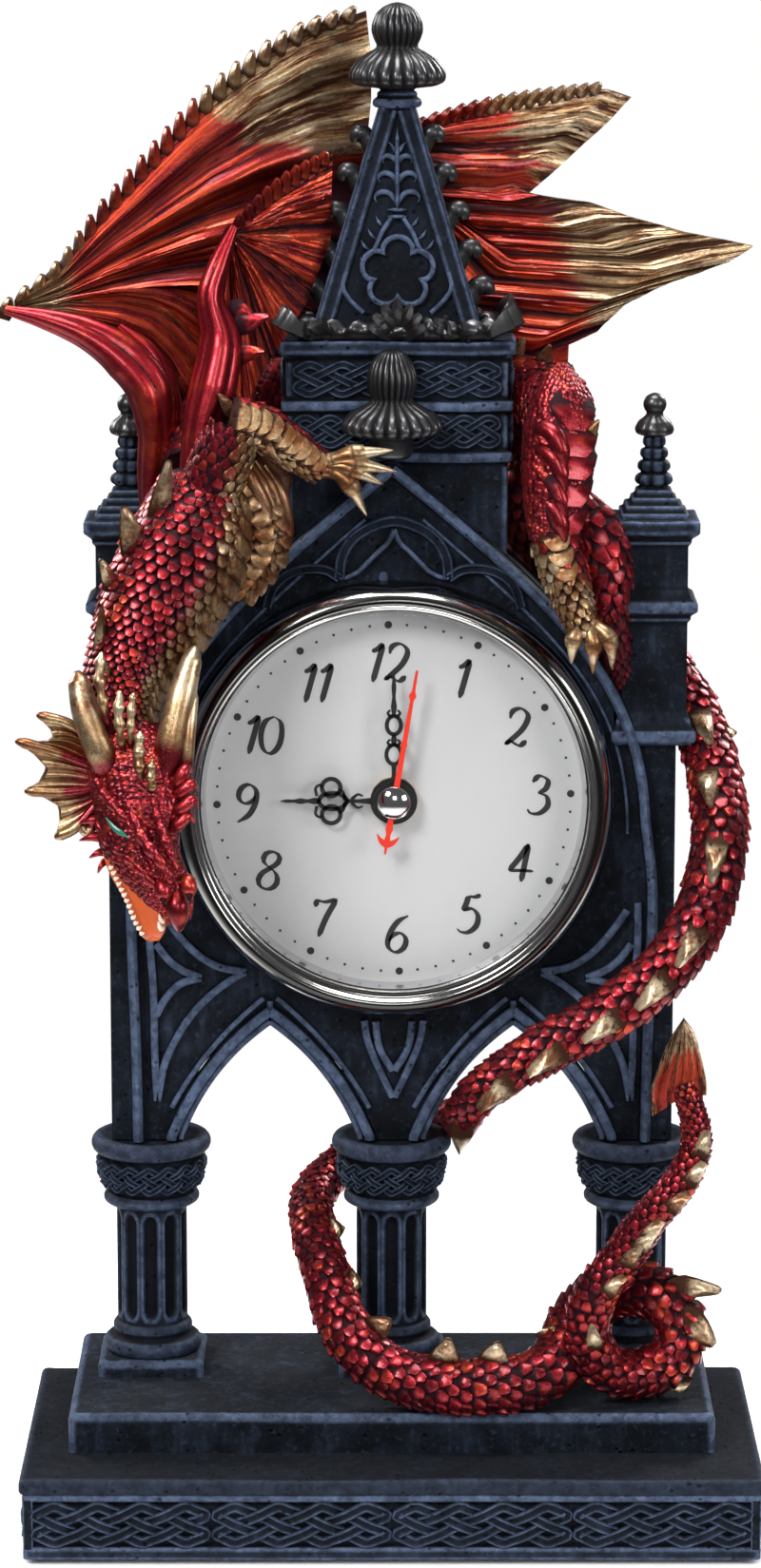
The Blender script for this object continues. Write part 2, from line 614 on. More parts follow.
def dragon_paint(name, golden=0.0, rays=False):
    """Metallic red over dark wash, turned to leafed gold washed with brown where the piece says so.

    With rays the paint is streaked along a wing's rays instead of in clouds.
    """
    s, look = Shader(name, Coat_Roughness=0.15, Specular_IOR_Level=0.12), bpy.context.scene.dragon_clock_look
    deep, gold, tint, wear, ray, run = (s.paint(k) for k in Skin.PAINT[1:4] + ("wear", "ray", "run"))
    cloud, grain, flake = s.noise(7, 3), s.noise(0.8, 3), s.noise(0.22, 2)
    if rays:
        across = s.node("ShaderNodeCombineXYZ", {}, {0: ray * 46, 1: run * 3.2, 2: 0.0})
        wide = s.node("ShaderNodeTexNoise", {}, {"Vector": across, "Scale": 1.0, "Detail": 5.0,
                                                 "Roughness": 0.68})
        fine = s.node("ShaderNodeTexNoise", {}, {"Vector": across, "Scale": 3.6, "Detail": 3.0,
                                                 "Roughness": 0.6})
        cloud = cloud * 0.35 + wide * 0.65
        streak = (wide * 0.6 + fine * 0.4).between(0.49, 0.6)
        hollow = (deep * 0.8 + streak * (0.35 + 0.6 * gold)).between(0.15, 0.75)
        crest = (1 - (wide * 0.4 + fine * 0.6).between(0.4, 0.5)) * 0.8
        warm, feather = 0.3, (wide - 0.5) * 2.4
    else:
        hollow = (deep * 0.95 + (1 - wear) * grain.between(0.5, 0.7) * 0.3).between(0.12, 0.85)
        crest = warm = feather = 0.0
    gold = ((gold + golden) * 1.6 + cloud * 0.5 + feather - 0.45).between(0.25, 0.8)
    red = s.mix(tint.between(0.15, 0.95), tuple(look.dragon_red_dark), tuple(look.dragon_red))
    red = s.mix(((cloud * 1.6 + tint * 0.35 + warm) - 1.0).between(0.05, 0.45) * 0.75, red,
                tuple(look.dragon_orange))
    red = s.mix(wear * flake.between(0.45, 0.7) * 0.3, red, tuple(look.dragon_pink))
    pale = (grain * 0.5 + flake * 0.5).between(0.47, 0.6) * (0.3 + 0.5 * wear)
    pale = pale + (tint - 0.62).between(0.0, 0.38) * 0.8 + crest
    leaf = s.mix(pale, tuple(look.dragon_gold), tuple(look.dragon_pale))
    leaf = s.mix((cloud * 1.2 + grain * 0.5).between(0.72, 1.0) * 0.9, leaf, tuple(look.dragon_brown))
    colour = s.mix(gold, red, leaf)
    wash = s.mix(gold, (0.014, 0.0015, 0.004), (0.03, 0.009, 0.003))
    s.set(Base_Color=s.mix(hollow, colour, wash), Metallic=0.9 - 0.75 * hollow,
          Roughness=0.27 + 0.3 * hollow + 0.16 * grain, Coat_Weight=0.22 - 0.22 * hollow)
    s.bump(grain * 0.5 + flake * 0.35, 0.14, 0.7)
    return s.material


def worn_metal(name, colour, dark, rough=0.36, gloss=0.0):
    """Cast metal with dark wash in its hollows, a rubbed crown and, with gloss, a thin coat of varnish."""
    s = Shader(name, Coat_Roughness=0.12)
    deep, wear, cloud, fine = s.paint("deep"), s.paint("wear"), s.noise(4, 3), s.noise(0.9, 3)
    tone = s.mix(cloud.between(0.3, 0.7) * 0.5, colour, tuple(c * 0.5 for c in colour))
    tone = s.mix(wear * wear * 0.7, tone, tuple(min(1, c * 6) for c in colour))
    hollow = (deep + fine.between(0.56, 0.74) * 0.35).between(0.1, 0.9)
    s.set(Base_Color=s.mix(hollow, tone, dark), Metallic=0.9 - 0.5 * hollow,
          Roughness=rough + 0.25 * hollow + 0.12 * fine, Coat_Weight=gloss - gloss * hollow)
    s.bump(fine, 0.1, 0.5)
    return s.material


def bright_metal(name, colour, rough=0.07, metallic=1.0):
    """Smooth plated metal with faint handling marks, and dark where its grooves hold old polish."""
    s = Shader(name, Metallic=metallic)
    smear, deep = s.noise(6, 4), s.paint("deep")
    tone = s.mix(smear.between(0.4, 0.8) * 0.25, colour, tuple(c * 0.8 for c in colour))
    s.set(Base_Color=s.mix(deep, tone, tuple(c * 0.03 for c in colour)), Roughness=rough + 0.05 * smear
          + 0.1 * deep)
    s.bump(s.noise(0.5, 2), 0.01, 0.3)
    return s.material


def moulded(name, colour, rough=0.5, grain=0.35, depth=0.03, vary=0.2):
    """Plastic, rubber, enamel or felt with a fine grain, in a colour or in one of the settings' colours."""
    s = Shader(name)
    if isinstance(colour, str):
        colour = tuple(getattr(bpy.context.scene.dragon_clock_look, colour))
    fine, cloud = s.noise(grain, 3), s.noise(8, 2)
    s.set(Base_Color=s.mix(cloud * vary + fine * vary, colour, tuple(c * 0.55 for c in colour)),
          Roughness=rough + 0.12 * fine - 0.06)
    s.bump(fine, depth, 0.6)
    return s.material


def clear_glass(name):
    """Clear glass: nearly unseen from the front, with a faint shine that grows towards its edge."""
    s = Shader(name, Roughness=0.02, IOR=1.5, Base_Color=(0.02, 0.02, 0.02, 1))
    edge = s.node("ShaderNodeLayerWeight", {}, {"Blend": 0.35}, 1)
    haze = s.noise(20, 2).between(0.4, 0.8)
    s.set(Alpha=0.02 + 0.35 * edge**3 + 0.01 * haze)
    return s.material


def dial_face(name):
    """Satin white print card, a little greyer towards its rim, with the faint grain of brushed metal."""
    s, look = Shader(name, Specular_IOR_Level=0.3), bpy.context.scene.dragon_clock_look
    at = s.place()
    x, _, z = (s.node("ShaderNodeSeparateXYZ", {}, {0: at}, k) for k in range(3))
    x, z = x - CLOCK_X * MM, z - CLOCK_Z * MM
    radius = (x * x + z * z) ** 0.5
    rim = radius.between(0.018, 0.038)
    brushed = s.noise(0.5, 2, 0.5, (1, 1, 0.1))
    s.set(Base_Color=s.mix(rim * 0.35 + brushed * 0.1, tuple(look.dial), tuple(c * 0.72 for c in look.dial)),
          Roughness=0.4 + 0.1 * brushed)
    s.bump(brushed, 0.01, 0.3)
    return s.material


FINISHES = {
    "painted_stone": (painted_stone,), "dial_face": (dial_face,), "clear_glass": (clear_glass,),
    "dragon_red": (dragon_paint,), "dragon_gold": (dragon_paint, 0.8),
    "dragon_wing": (dragon_paint, 0.0, True),
    "dragon_jaw": (moulded, "jaw", 0.3, 1.2, 0.1, 0.5),
    "tooth": (moulded, (0.8, 0.7, 0.55), 0.3),
    "eye": (moulded, (0.02, 0.16, 0.11), 0.12),
    "pewter": (worn_metal, (0.02, 0.02, 0.021), (0.0015, 0.0015, 0.002), 0.34, 0.3),
    "copper_wire": (worn_metal, (0.62, 0.24, 0.1), (0.05, 0.015, 0.01), 0.3),
    "chrome": (bright_metal, (0.72, 0.70, 0.67)),
    "silver_ring": (bright_metal, (0.75, 0.75, 0.76), 0.16),
    "brass": (bright_metal, (0.62, 0.43, 0.16), 0.25),
    "battery_jacket": (bright_metal, (0.18, 0.19, 0.22), 0.3, 0.6),
    "plated_steel": (bright_metal, (0.55, 0.56, 0.58), 0.25),
    "felt": (moulded, (0.03, 0.035, 0.045), 0.95, 0.5, 0.3, 0.5),
    "black_print": (moulded, (0.012, 0.011, 0.011), 0.5, 0.2, 0.005),
    "black_rubber": (moulded, (0.02, 0.02, 0.022), 0.75, 0.4, 0.05),
    "black_plastic": (moulded, (0.022, 0.023, 0.026), 0.42, 0.6, 0.06),
    "circuit_green": (moulded, (0.012, 0.1, 0.045), 0.4, 0.8, 0.03, 0.4),
    "hand_black": (moulded, (0.012, 0.012, 0.013), 0.35),
    "hand_red": (moulded, (0.75, 0.035, 0.015), 0.35),
    "white_nylon": (moulded, (0.78, 0.75, 0.66), 0.5),
}


@functools.cache
def finish_of(name):
    """The finish of that name, made when it is first asked for."""
    kind, *how = FINISHES[name]
    return kind(name, *how)


# ------------------------------------------------------------------ stonework

def block(x, y, half):
    """The box of a square block about (x, y)."""
    return x - half, x + half, y - half, y + half


def side_of(box, k):
    """Side k of a box, 0 the front and then anticlockwise: place(along, height, out), and its width."""
    x0, x1, y0, y1 = box
    ax, ay = ((1, 0), (0, 1), (-1, 0), (0, -1))[k]
    half, width = ((y1 - y0) / 2, x1 - x0) if ax else ((x1 - x0) / 2, y1 - y0)

    def place(a, z, out):
        return np.stack(np.broadcast_arrays((x0 + x1) / 2 + ax * a + ay * (half + out),
                                            (y0 + y1) / 2 + ay * a - ax * (half + out), z), -1)
    return place, width


def plait(skin, place, at, size, cells, width=1.5, height=0.9, lift=0.4, steps=14, reach=3):
    """Knotwork in a panel of cells (n, m): strands run along their diagonals and turn back at the edges.

    Its height is the cosine of its place across the panel, so that it goes over and under in turn.
    """
    n, m = cells
    for k in range(math.gcd(n, m)):
        t = np.arange(0, 2 * math.lcm(n, m), 1 / steps)
        x, z = (top - np.abs(np.mod(v, 2 * top) - top) for v, top in ((t + 0.5 + k, n), (t, m)))
        way = np.where(np.mod(t + 0.5 + k, 2 * n) < n, 1, -1) * np.where(np.mod(t, 2 * m) < m, 1, -1)
        edge = np.minimum(np.minimum(x, n - x), np.minimum(z, m - z))
        flat = np.stack([x, z, -way * np.cos(TAU * z) * np.minimum(1, 4 * edge)], -1)
        flat = sum(np.roll(flat, s, 0) for s in range(-reach, reach + 1)) / (2 * reach + 1)
        a = at[0] + (flat[:, 0] / n - 0.5) * size[0]
        z = at[1] + (flat[:, 1] / m - 0.5) * size[1]
        path = place(a, z, flat[:, 2] * lift)
        strand(skin, path, place(a, z, flat[:, 2] * lift + 1) - path, width, height, BAND, closed=True)


def mirror(rows):
    """The rows of (x, z) on the other side of the clock's axis."""
    return points(rows) * [-1, 1] + [2 * CLOCK_X, 0]


def on_wall(skin, rows, width, height, profile=ROLL, y=WALL_FRONT, count=40, both=False, **more):
    """A strand on the wall's front along a curve of (x, z), and with both its mirror image too."""
    for line in (rows, mirror(rows)) if both else (rows,):
        flat = curve(line, count)
        path = np.stack([flat[:, 0], np.full(count, y), flat[:, 1]], -1)
        strand(skin, path, (0, -1, 0), width, height, profile, **more)


def bezier(p, count):
    """Points along the Bezier curve of three or four control points."""
    t = np.linspace(0, 1, count)[:, None]
    last = len(p) - 1
    return sum(math.comb(last, i) * (1 - t)**(last - i) * t**i * p[i] for i in range(last + 1))


def gable_edge(inset):
    """The gable's right edge from foot to apex, drawn in by inset: a cubic Bezier curve."""
    w, top = 51 - inset, GABLE_TOP - inset * 1.35
    rows = [[w, GABLE_FOOT], [w, GABLE_FOOT + 30], [w * 0.65, top - 26.6], [0, top]]
    return bezier(points(rows), 30)


def arch_edge(x, grow, flip=1):
    """The left edge of an arch from its spring to its point, drawn out by grow: a quadratic Bezier curve.

    With flip at -1 it is the right edge.
    """
    half, rise = ARCH_HALF + grow, ARCH_RISE + grow * 1.25
    out = 4.6 / math.hypot(half, rise)
    middle = (flip * (-half / 2 - rise * out), rise / 2 + half * out)
    return bezier(points([(-flip * half, 0), middle, (0, rise)]) + [x, ARCH_SPRING], 24)


PLINTH = (-71, 71, -34.5, 35)


def carve_base(skins):
    """The plinth with its knotwork, the slab and the step."""
    skin = skins["base_plinth"]
    squared(skin, PLINTH, edged([(-2, 1), (0, 1), (0, 3.3), (-1.1, 3.8), (-1.1, 12.4), (0, 12.8), (0, 14.3),
                                 (-2, 14.3)]), uneven=0.1)
    for x in (-70, 70):
        for y in (-33.5, 34):
            squared(skin, block(x, y, 0.95), edged([(0, 2.5), (0, 13.5)]), 0.2, bare=0.1)
    for k in range(4):
        place, width = side_of((-69.9, 69.9, -33.4, 33.9), k)
        count = 4 if width > 100 else 2
        pitch = (width - 0.8) / count
        for i in range(count):
            plait(skin, place, ((i - (count - 1) / 2) * pitch, 8.1), (pitch - 1.0, 7.6), (4, 2), 2.3, 1.4,
                  0.5, reach=1)
    skin = skins["base_slab"]
    squared(skin, (-71.7, 71.7, -35.2, 35.7), edged([(-1.5, 14.2), (-0.4, 14.2), (0, 14.7), (0, 16.5),
                                                     (-0.6, 17.2), (-8, 17.2)], 0.2) + [0, 0, 0, 0.5], 1.0,
            uneven=0.5)
    skin = skins["base_step"]
    squared(skin, (-63, 63, -18.5, 35), edged([(0, 17.1), (0, 24.0), (-0.8, 24.9), (-9, 24.9)], 0.25), 0.9,
            uneven=0.4)


def flutes(angle, p):
    """Ten upright flutes with round ends, and worn edges beside them."""
    across = np.abs(np.mod(angle * 10 / TAU, 1) - 0.5) / 0.33
    past = np.maximum(np.maximum(p[:, 1:2] - 55.2, 37.4 - p[:, 1:2]), 0) / 1.9
    off = np.hypot(across, past)
    groove = ease((1.05 - off) / 0.4)
    edge = ease((0.55 - np.abs(off - 1.2)) / 0.5) * (np.abs(p[:, 1:2] - 46.3) < 11.4)
    return 1 - 0.13 * groove, groove * 0.9, edge * 0.85


def lobed(count, depth, low=0.0, top=1e3):
    """Upright ribs for turned(): count of them, with dark grooves between, from one height to another."""
    def ribs(angle, p):
        inside = (p[:, 1:2] > low) & (p[:, 1:2] < top)
        wave = np.abs(np.sin(angle * count / 2))
        groove = (1 - wave)**2 * inside
        return 1 - depth * (1 - wave)**1.5 * inside, groove * 0.95, wave**3 * 0.7 * inside
    return ribs


def carve_columns(skins):
    """Three fluted columns, each on its square block, with capitals that carry a ring of knotwork."""
    for name, x in zip(("left", "middle", "right"), COLUMNS):
        skin = skins[f"column_{name}"]
        squared(skin, block(x, WALL_Y, 10.5),
                edged([(0, 24.8), (0, 27.3), (-0.8, 28.1), (-4, 28.1)]), 0.8, uneven=0.3)
        foot = edged([(7.2, 27.6), (9.4, 28.2), (9.9, 29.5), (9.3, 30.9), (7.9, 31.4), (7.7, 32), (8.0, 33),
                      (7.6, 33.9), (7, 34.3)], 0.3, 3) * [1, 1, 0.7, 1]
        heights = np.concatenate([np.linspace(34.6, 38.6, 9), np.linspace(40, 52, 9),
                                  np.linspace(53.6, 57.6, 9)])
        shaft = np.stack([np.full(27, 7.0), heights, np.zeros(27), np.zeros(27)], -1)
        turned(skin, x, WALL_Y, np.vstack([foot, shaft, [[7.1, 58.6, 0, 1]]]), 140, flutes)
        skin = skins[f"capital_{name}"]
        bell = edged([(7.0, 58.4), (9.1, 58.7), (9.7, 59.7), (9.1, 60.8), (8.4, 61.2), (8.6, 62), (9.9, 68.2),
                      (10.2, 68.9), (11.5, 69.5), (12.0, 70.8), (11.6, 72.1), (10.6, 72.7), (8.5, 72.3),
                      (6, 72.3)], 0.35, 3) * [1, 1, 0.7, 1]
        turned(skin, x, WALL_Y, bell, 64)

        def place(a, z, out, x=x):
            radius = 8.75 + (z - 62) * 0.21 + out
            return np.stack(np.broadcast_arrays(x + radius * np.sin(a), WALL_Y - radius * np.cos(a), z), -1)
        plait(skin, place, (0, 65.1), (TAU, 5.2), (17, 2), 1.4, 1.1, 0.5, 12, 1)


LOWER_CUSP = [[(-46.3, 112.7), (-43.9, 109.5), (-41.1, 107.3), (-37.5, 105.8)],
              [(-37.5, 105.8), (-41.6, 104.6), (-44.5, 101.6), (-46.4, 98.2)]]
LOWER_FOIL = [[(-45.4, 119.5), (-43.6, 116.8), (-41, 113.4), (-37.7, 110.2), (-33.9, 108), (-28.7, 107)],
              [(-28.7, 107), (-32.5, 104.8), (-36.8, 101.2), (-40.2, 97.2), (-43.1, 92.3), (-44.8, 88.3),
               (-46.3, 80.9)]]
LOWER_LINE = [[(-47.5, 121), (-47.5, 112.9), (-46.9, 103.1), (-46.7, 88.8), (-46.3, 80.9)]]
UPPER_SIDE = [(-24.3, 179.6), (-23.1, 183.4), (-20.6, 185.9), (-17.1, 187.1), (-12.7, 186.9), (-10.2, 185.4)]
UPPER_BIG = [(-10.2, 185.4), (-9.7, 189.4), (-7.8, 192.8), (-4.3, 195.3), (0.4, 196.6), (5.1, 195.3),
             (8.6, 192.8), (10.5, 189.4), (11, 185.4)]
UPPER_SMALL = [(-6.5, 186.6), (-2.8, 190.4), (-0.6, 192.6), (0.4, 195)]


def carve_wall(skins):
    """The rolls of the gable and arches, and the tracery laid on the wall."""
    skin = skins["gable_moulding"]
    edge = gable_edge(1.4)
    low = points([(50.1, 72.9), (50.3, 90), (50.9, 110), (51.0, 125)])
    right = np.vstack([low, edge[1:]])
    for line in (right, right * [-1, 1]):
        on_wall(skin, line, 2.5, 2.9, y=WALL_FRONT - 0.2, count=90)
    for name, x in zip(("left", "right"), BAYS):
        skin = skins[f"arch_moulding_{name}"]
        for flip in (1, -1):
            for grow, width, height in ((2.4, 2.5, 1.9), (0.5, 1.3, 0.8)):
                line = np.vstack([[[x - flip * (ARCH_HALF + grow), 72.9]], arch_edge(x, grow, flip)])
                on_wall(skin, line, width, height, count=48)
    skin = skins["wall_tracery"]
    for line in LOWER_CUSP + LOWER_FOIL + LOWER_LINE:
        on_wall(skin, line, 1.9, 1.4, both=True, count=28)
    on_wall(skin, gable_edge(4.9)[:28], 0.8, 0.7, both=True, count=60)
    for line in ([(-5.4, 97.2), (-4.8, 93.3), (-2.9, 88.3), (0.2, 81.6)],
                 [(-3.2, 97), (-2.4, 91.6), (0.2, 87.0)]):
        on_wall(skin, line, 1.8, 1.3, both=True, count=24)
    for x in BAYS:
        on_wall(skin, [(x, 98.0), (x, 101.2)], 1.5, 1.4, count=8)
        for flip in (1, -1):
            on_wall(skin, arch_edge(x, 5.2, flip)[4:23], 1.3, 0.9, count=30)
    on_wall(skin, UPPER_SIDE, 2.1, 1.3, BAND, both=True, count=26)
    on_wall(skin, UPPER_BIG, 2.3, 1.5, BAND, count=48)
    on_wall(skin, UPPER_SMALL, 1.2, 1.2, both=True, count=20)
    on_wall(skin, [(-6.5, 186.6), (-8.6, 185.6), (-10.2, 185.4)], 1.1, 1.0, both=True, count=12)
    turned(skin, -1.6, 8.6, edged([(0.2, 184.6), (0.9, 185), (1, 185.9), (0.6, 186.6), (0.1, 186.8)]), 12)


TOWER = (TOWER_X - 21.4, TOWER_X + 21.4, 11.2, 25.2)


def carve_turrets(skins):
    """Square turrets with cornices, stepped tops and a finial of beads, a skirt and a ball."""
    for name, x in TURRETS:
        skin = skins[f"turret_{name}"]
        squared(skin, block(x, WALL_Y, TURRET_HALF), edged([(-1.2, 152.2), (0.4, 152.4), (1.8, 153.4),
                                                            (1.8, 155.2), (1.1, 155.9), (0.7, 157.4),
                                                            (0, 159.4), (0, 176.6), (0.6, 177.2),
                                                            (0.6, 178), (1.9, 179), (1.9, 180.6),
                                                            (0.8, 181.4), (0.2, 182.8), (0, 183.2),
                                                            (0, 191.6), (0.6, 192.2), (0.6, 193),
                                                            (2.15, 194.3), (2.15, 196.6), (-1, 196.9),
                                                            (-2, 196.9)], 0.22), 0.5, uneven=0.15)
        squared(skin, block(x, WALL_Y, TURRET_HALF + 0.05),
                edged([(0, 196.6), (0, 197.8), (-0.7, 198), (-1.0, 199.2), (-1.9, 199.4), (-2.2, 200.6),
                       (-2.8, 200.8), (-3.1, 202), (-3.6, 202.2), (-4.4, 203.2)], 0.2), 0.4)
        skin = skins[f"turret_beads_{name}"]
        beads = [(2.2, 202)]
        for z, r in ((203.2, 3.8), (205.8, 3.3), (208.3, 2.8), (210.6, 2.3)):
            beads += [(r * 0.72, z - 0.5), (r * 0.97, z + 0.1), (r, z + 0.9), (r * 0.9, z + 1.6)]
        turned(skin, x, WALL_Y, edged(beads + [(1.6, 212.4)], 0.3, 3), 48, lobed(7, 0.16))
        skin = skins[f"turret_tip_{name}"]
        turned(skin, x, WALL_Y, edged([(1.4, 212), (3.6, 212.8), (3.9, 213.8), (3.2, 215.2), (1.9, 216.2),
                                       (1.5, 216.8), (2.1, 217.6), (2.3, 218.7), (1.8, 219.9), (0.9, 220.5),
                                       (0.1, 220.7)], 0.25, 3), 48, lobed(9, 0.07, 212.4, 216.4))


def carve_tower(skins):
    """The tower with its cornices and two bands of knotwork."""
    skin = skins["tower"]
    squared(skin, TOWER, edged([(0, 186), (0, 207.4), (0.8, 208), (0.8, 209.3), (0, 210), (0, 217.3),
                                (1, 217.9), (1, 219.3), (0, 219.9), (0, 227.6), (0.6, 228.2), (1.5, 228.9),
                                (1.5, 231.1), (-4, 231.3)], 0.22), 0.6, uneven=0.3)
    for k in range(4):
        place, width = side_of(TOWER, k)
        count = 2 if width > 20 else 1
        pitch = (width - 0.8) / count
        for i in range(count):
            at = (i - (count - 1) / 2) * pitch
            plait(skin, place, (at, 223.8), (pitch - 2.0, 6.2), (3, 2) if count > 1 else (2, 1), 1.7, 1.0,
                  0.4, reach=2)
            plait(skin, place, (at, 213.7), (pitch - 1.8, 6.0), (4, 2) if count > 1 else (3, 2), 1.5, 0.9,
                  0.35)


def spire_half(z):
    """Half the spire's width and half its depth at a height."""
    share = (np.asarray(z, float) - SPIRE_FOOT) / SPIRE_HIGH
    return tuple(low + (SPIRE_TOP - low) * share for low in SPIRE_HALF)


def spire_point(a, z, out, k):
    """A point on a face of the spire, which leans in with height: k is 0 in front and 2 at the back."""
    half = spire_half(z)[1] + out
    turn = -1 if k else 1
    return np.stack(np.broadcast_arrays(TOWER_X + turn * a, TOWER_Y - turn * half, z), -1)


def relief(skin, rows, width, height, k, count=24, **more):
    """A strand on a face of the spire along a curve of (along, height)."""
    flat = curve(rows, count)
    path = spire_point(flat[:, 0], flat[:, 1], 0, k)
    strand(skin, path, spire_point(flat[:, 0], flat[:, 1], 1, k) - path, width, height, **more)


def carve_spire(skins):
    """The leaning spire with ribs on its corners and a relief of a cinquefoil, branches and a leafy stem."""
    skin = skins["spire"]
    ring = ((-1, -1), (0, -1), (1, -1), (1, 0), (1, 1), (0, 1), (-1, 1), (-1, 0))
    grid = []
    for z in (SPIRE_FOOT, 232.2, 250, 262, 274, 275.4):
        hx, hy = spire_half(z)
        grid.append([(TOWER_X + sx * hx, TOWER_Y + sy * hy, z) for sx, sy in ring])
    skin.sheet(points(grid), wear=0.0, deep=0.35)
    z = np.linspace(231.4, 275.2, 24)
    hx, hy = spire_half(z)
    for sx in (-1, 1):
        for sy in (-1, 1):
            path = np.stack([TOWER_X + sx * (hx - 1.3), TOWER_Y + sy * (hy - 0.2), z], -1)
            strand(skin, path, (0, sy, 0), 3.4, 1.1, BAND)
            path = np.stack([TOWER_X + sx * (hx - 0.1), TOWER_Y + sy * (hy - 0.9), z], -1)
            strand(skin, path, (sx, 0, 0.3), 1.9, 0.8, ROLL)
    angle = np.linspace(0, TAU, 100, endpoint=False)
    reach = 4.5 + 2.5 * np.abs(np.cos(2.5 * (angle - TAU / 4)))**0.55
    ring = np.stack([0.1 + reach * np.cos(angle), 244.3 + 0.97 * reach * np.sin(angle)], -1)
    for k in (0, 2):
        path = spire_point(ring[:, 0], ring[:, 1], 0, k)
        strand(skin, path, spire_point(ring[:, 0], ring[:, 1], 1, k) - path, 1.3, 1.2, closed=True)
        for s in (-1, 1):
            relief(skin, [(s * 1.2, 254.6), (s * 2.9, 252), (s * 4.6, 248.4), (s * 6.9, 246.6)], 1.1, 1.1, k)
            for a, z, reach_out in ((2.4, 252.8, 2.4), (3.8, 250.4, 2.6), (5.2, 248.4, 2.6)):
                relief(skin, [(s * a, z), (s * (a + 0.4 * reach_out), z + 0.8),
                              (s * (a + 0.7 * reach_out), z + 2.1)], 0.9, 0.9, k, count=8, taper=0.6)
            relief(skin, [(s * 9.8, 244.4), (s * 10.4, 241.4), (s * 8.6, 238.6), (s * 6.4, 236.6)], 1.1,
                   1.0, k)
            for z, size in ((256.6, 1.0), (260.6, 0.85), (264.4, 0.66)):
                relief(skin, [(0, z), (s * 1.3 * size, z + 2.6 * size), (s * 3.1 * size, z + 3.0 * size),
                              (s * 4.3 * size, z + 1.9 * size), (s * 3.9 * size, z + 0.9 * size)], 1.25,
                       1.1, k, taper=0.35)
            relief(skin, [(0, 266.2), (s * 0.9, 268.2), (s * 1.7, 269.0)], 1.1, 1.0, k, count=8, taper=0.6)
        relief(skin, [(0, 255.4), (0, 271.6)], 1.0, 1.2, k, taper=0.15)
        for z in (254.9, 256.2):
            relief(skin, [(-1.9, z), (1.9, z)], 0.9, 1.4, k, count=8, taper=0.3)
    skin = skins["spire_collar"]
    turned(skin, TOWER_X, TOWER_Y, edged([(3.2, 275.2), (4.5, 275.5), (4.8, 276.2), (4.5, 277.0),
                                          (3.8, 277.3), (3.9, 278.2), (3.2, 278.6)], 0.25, 3), 40)


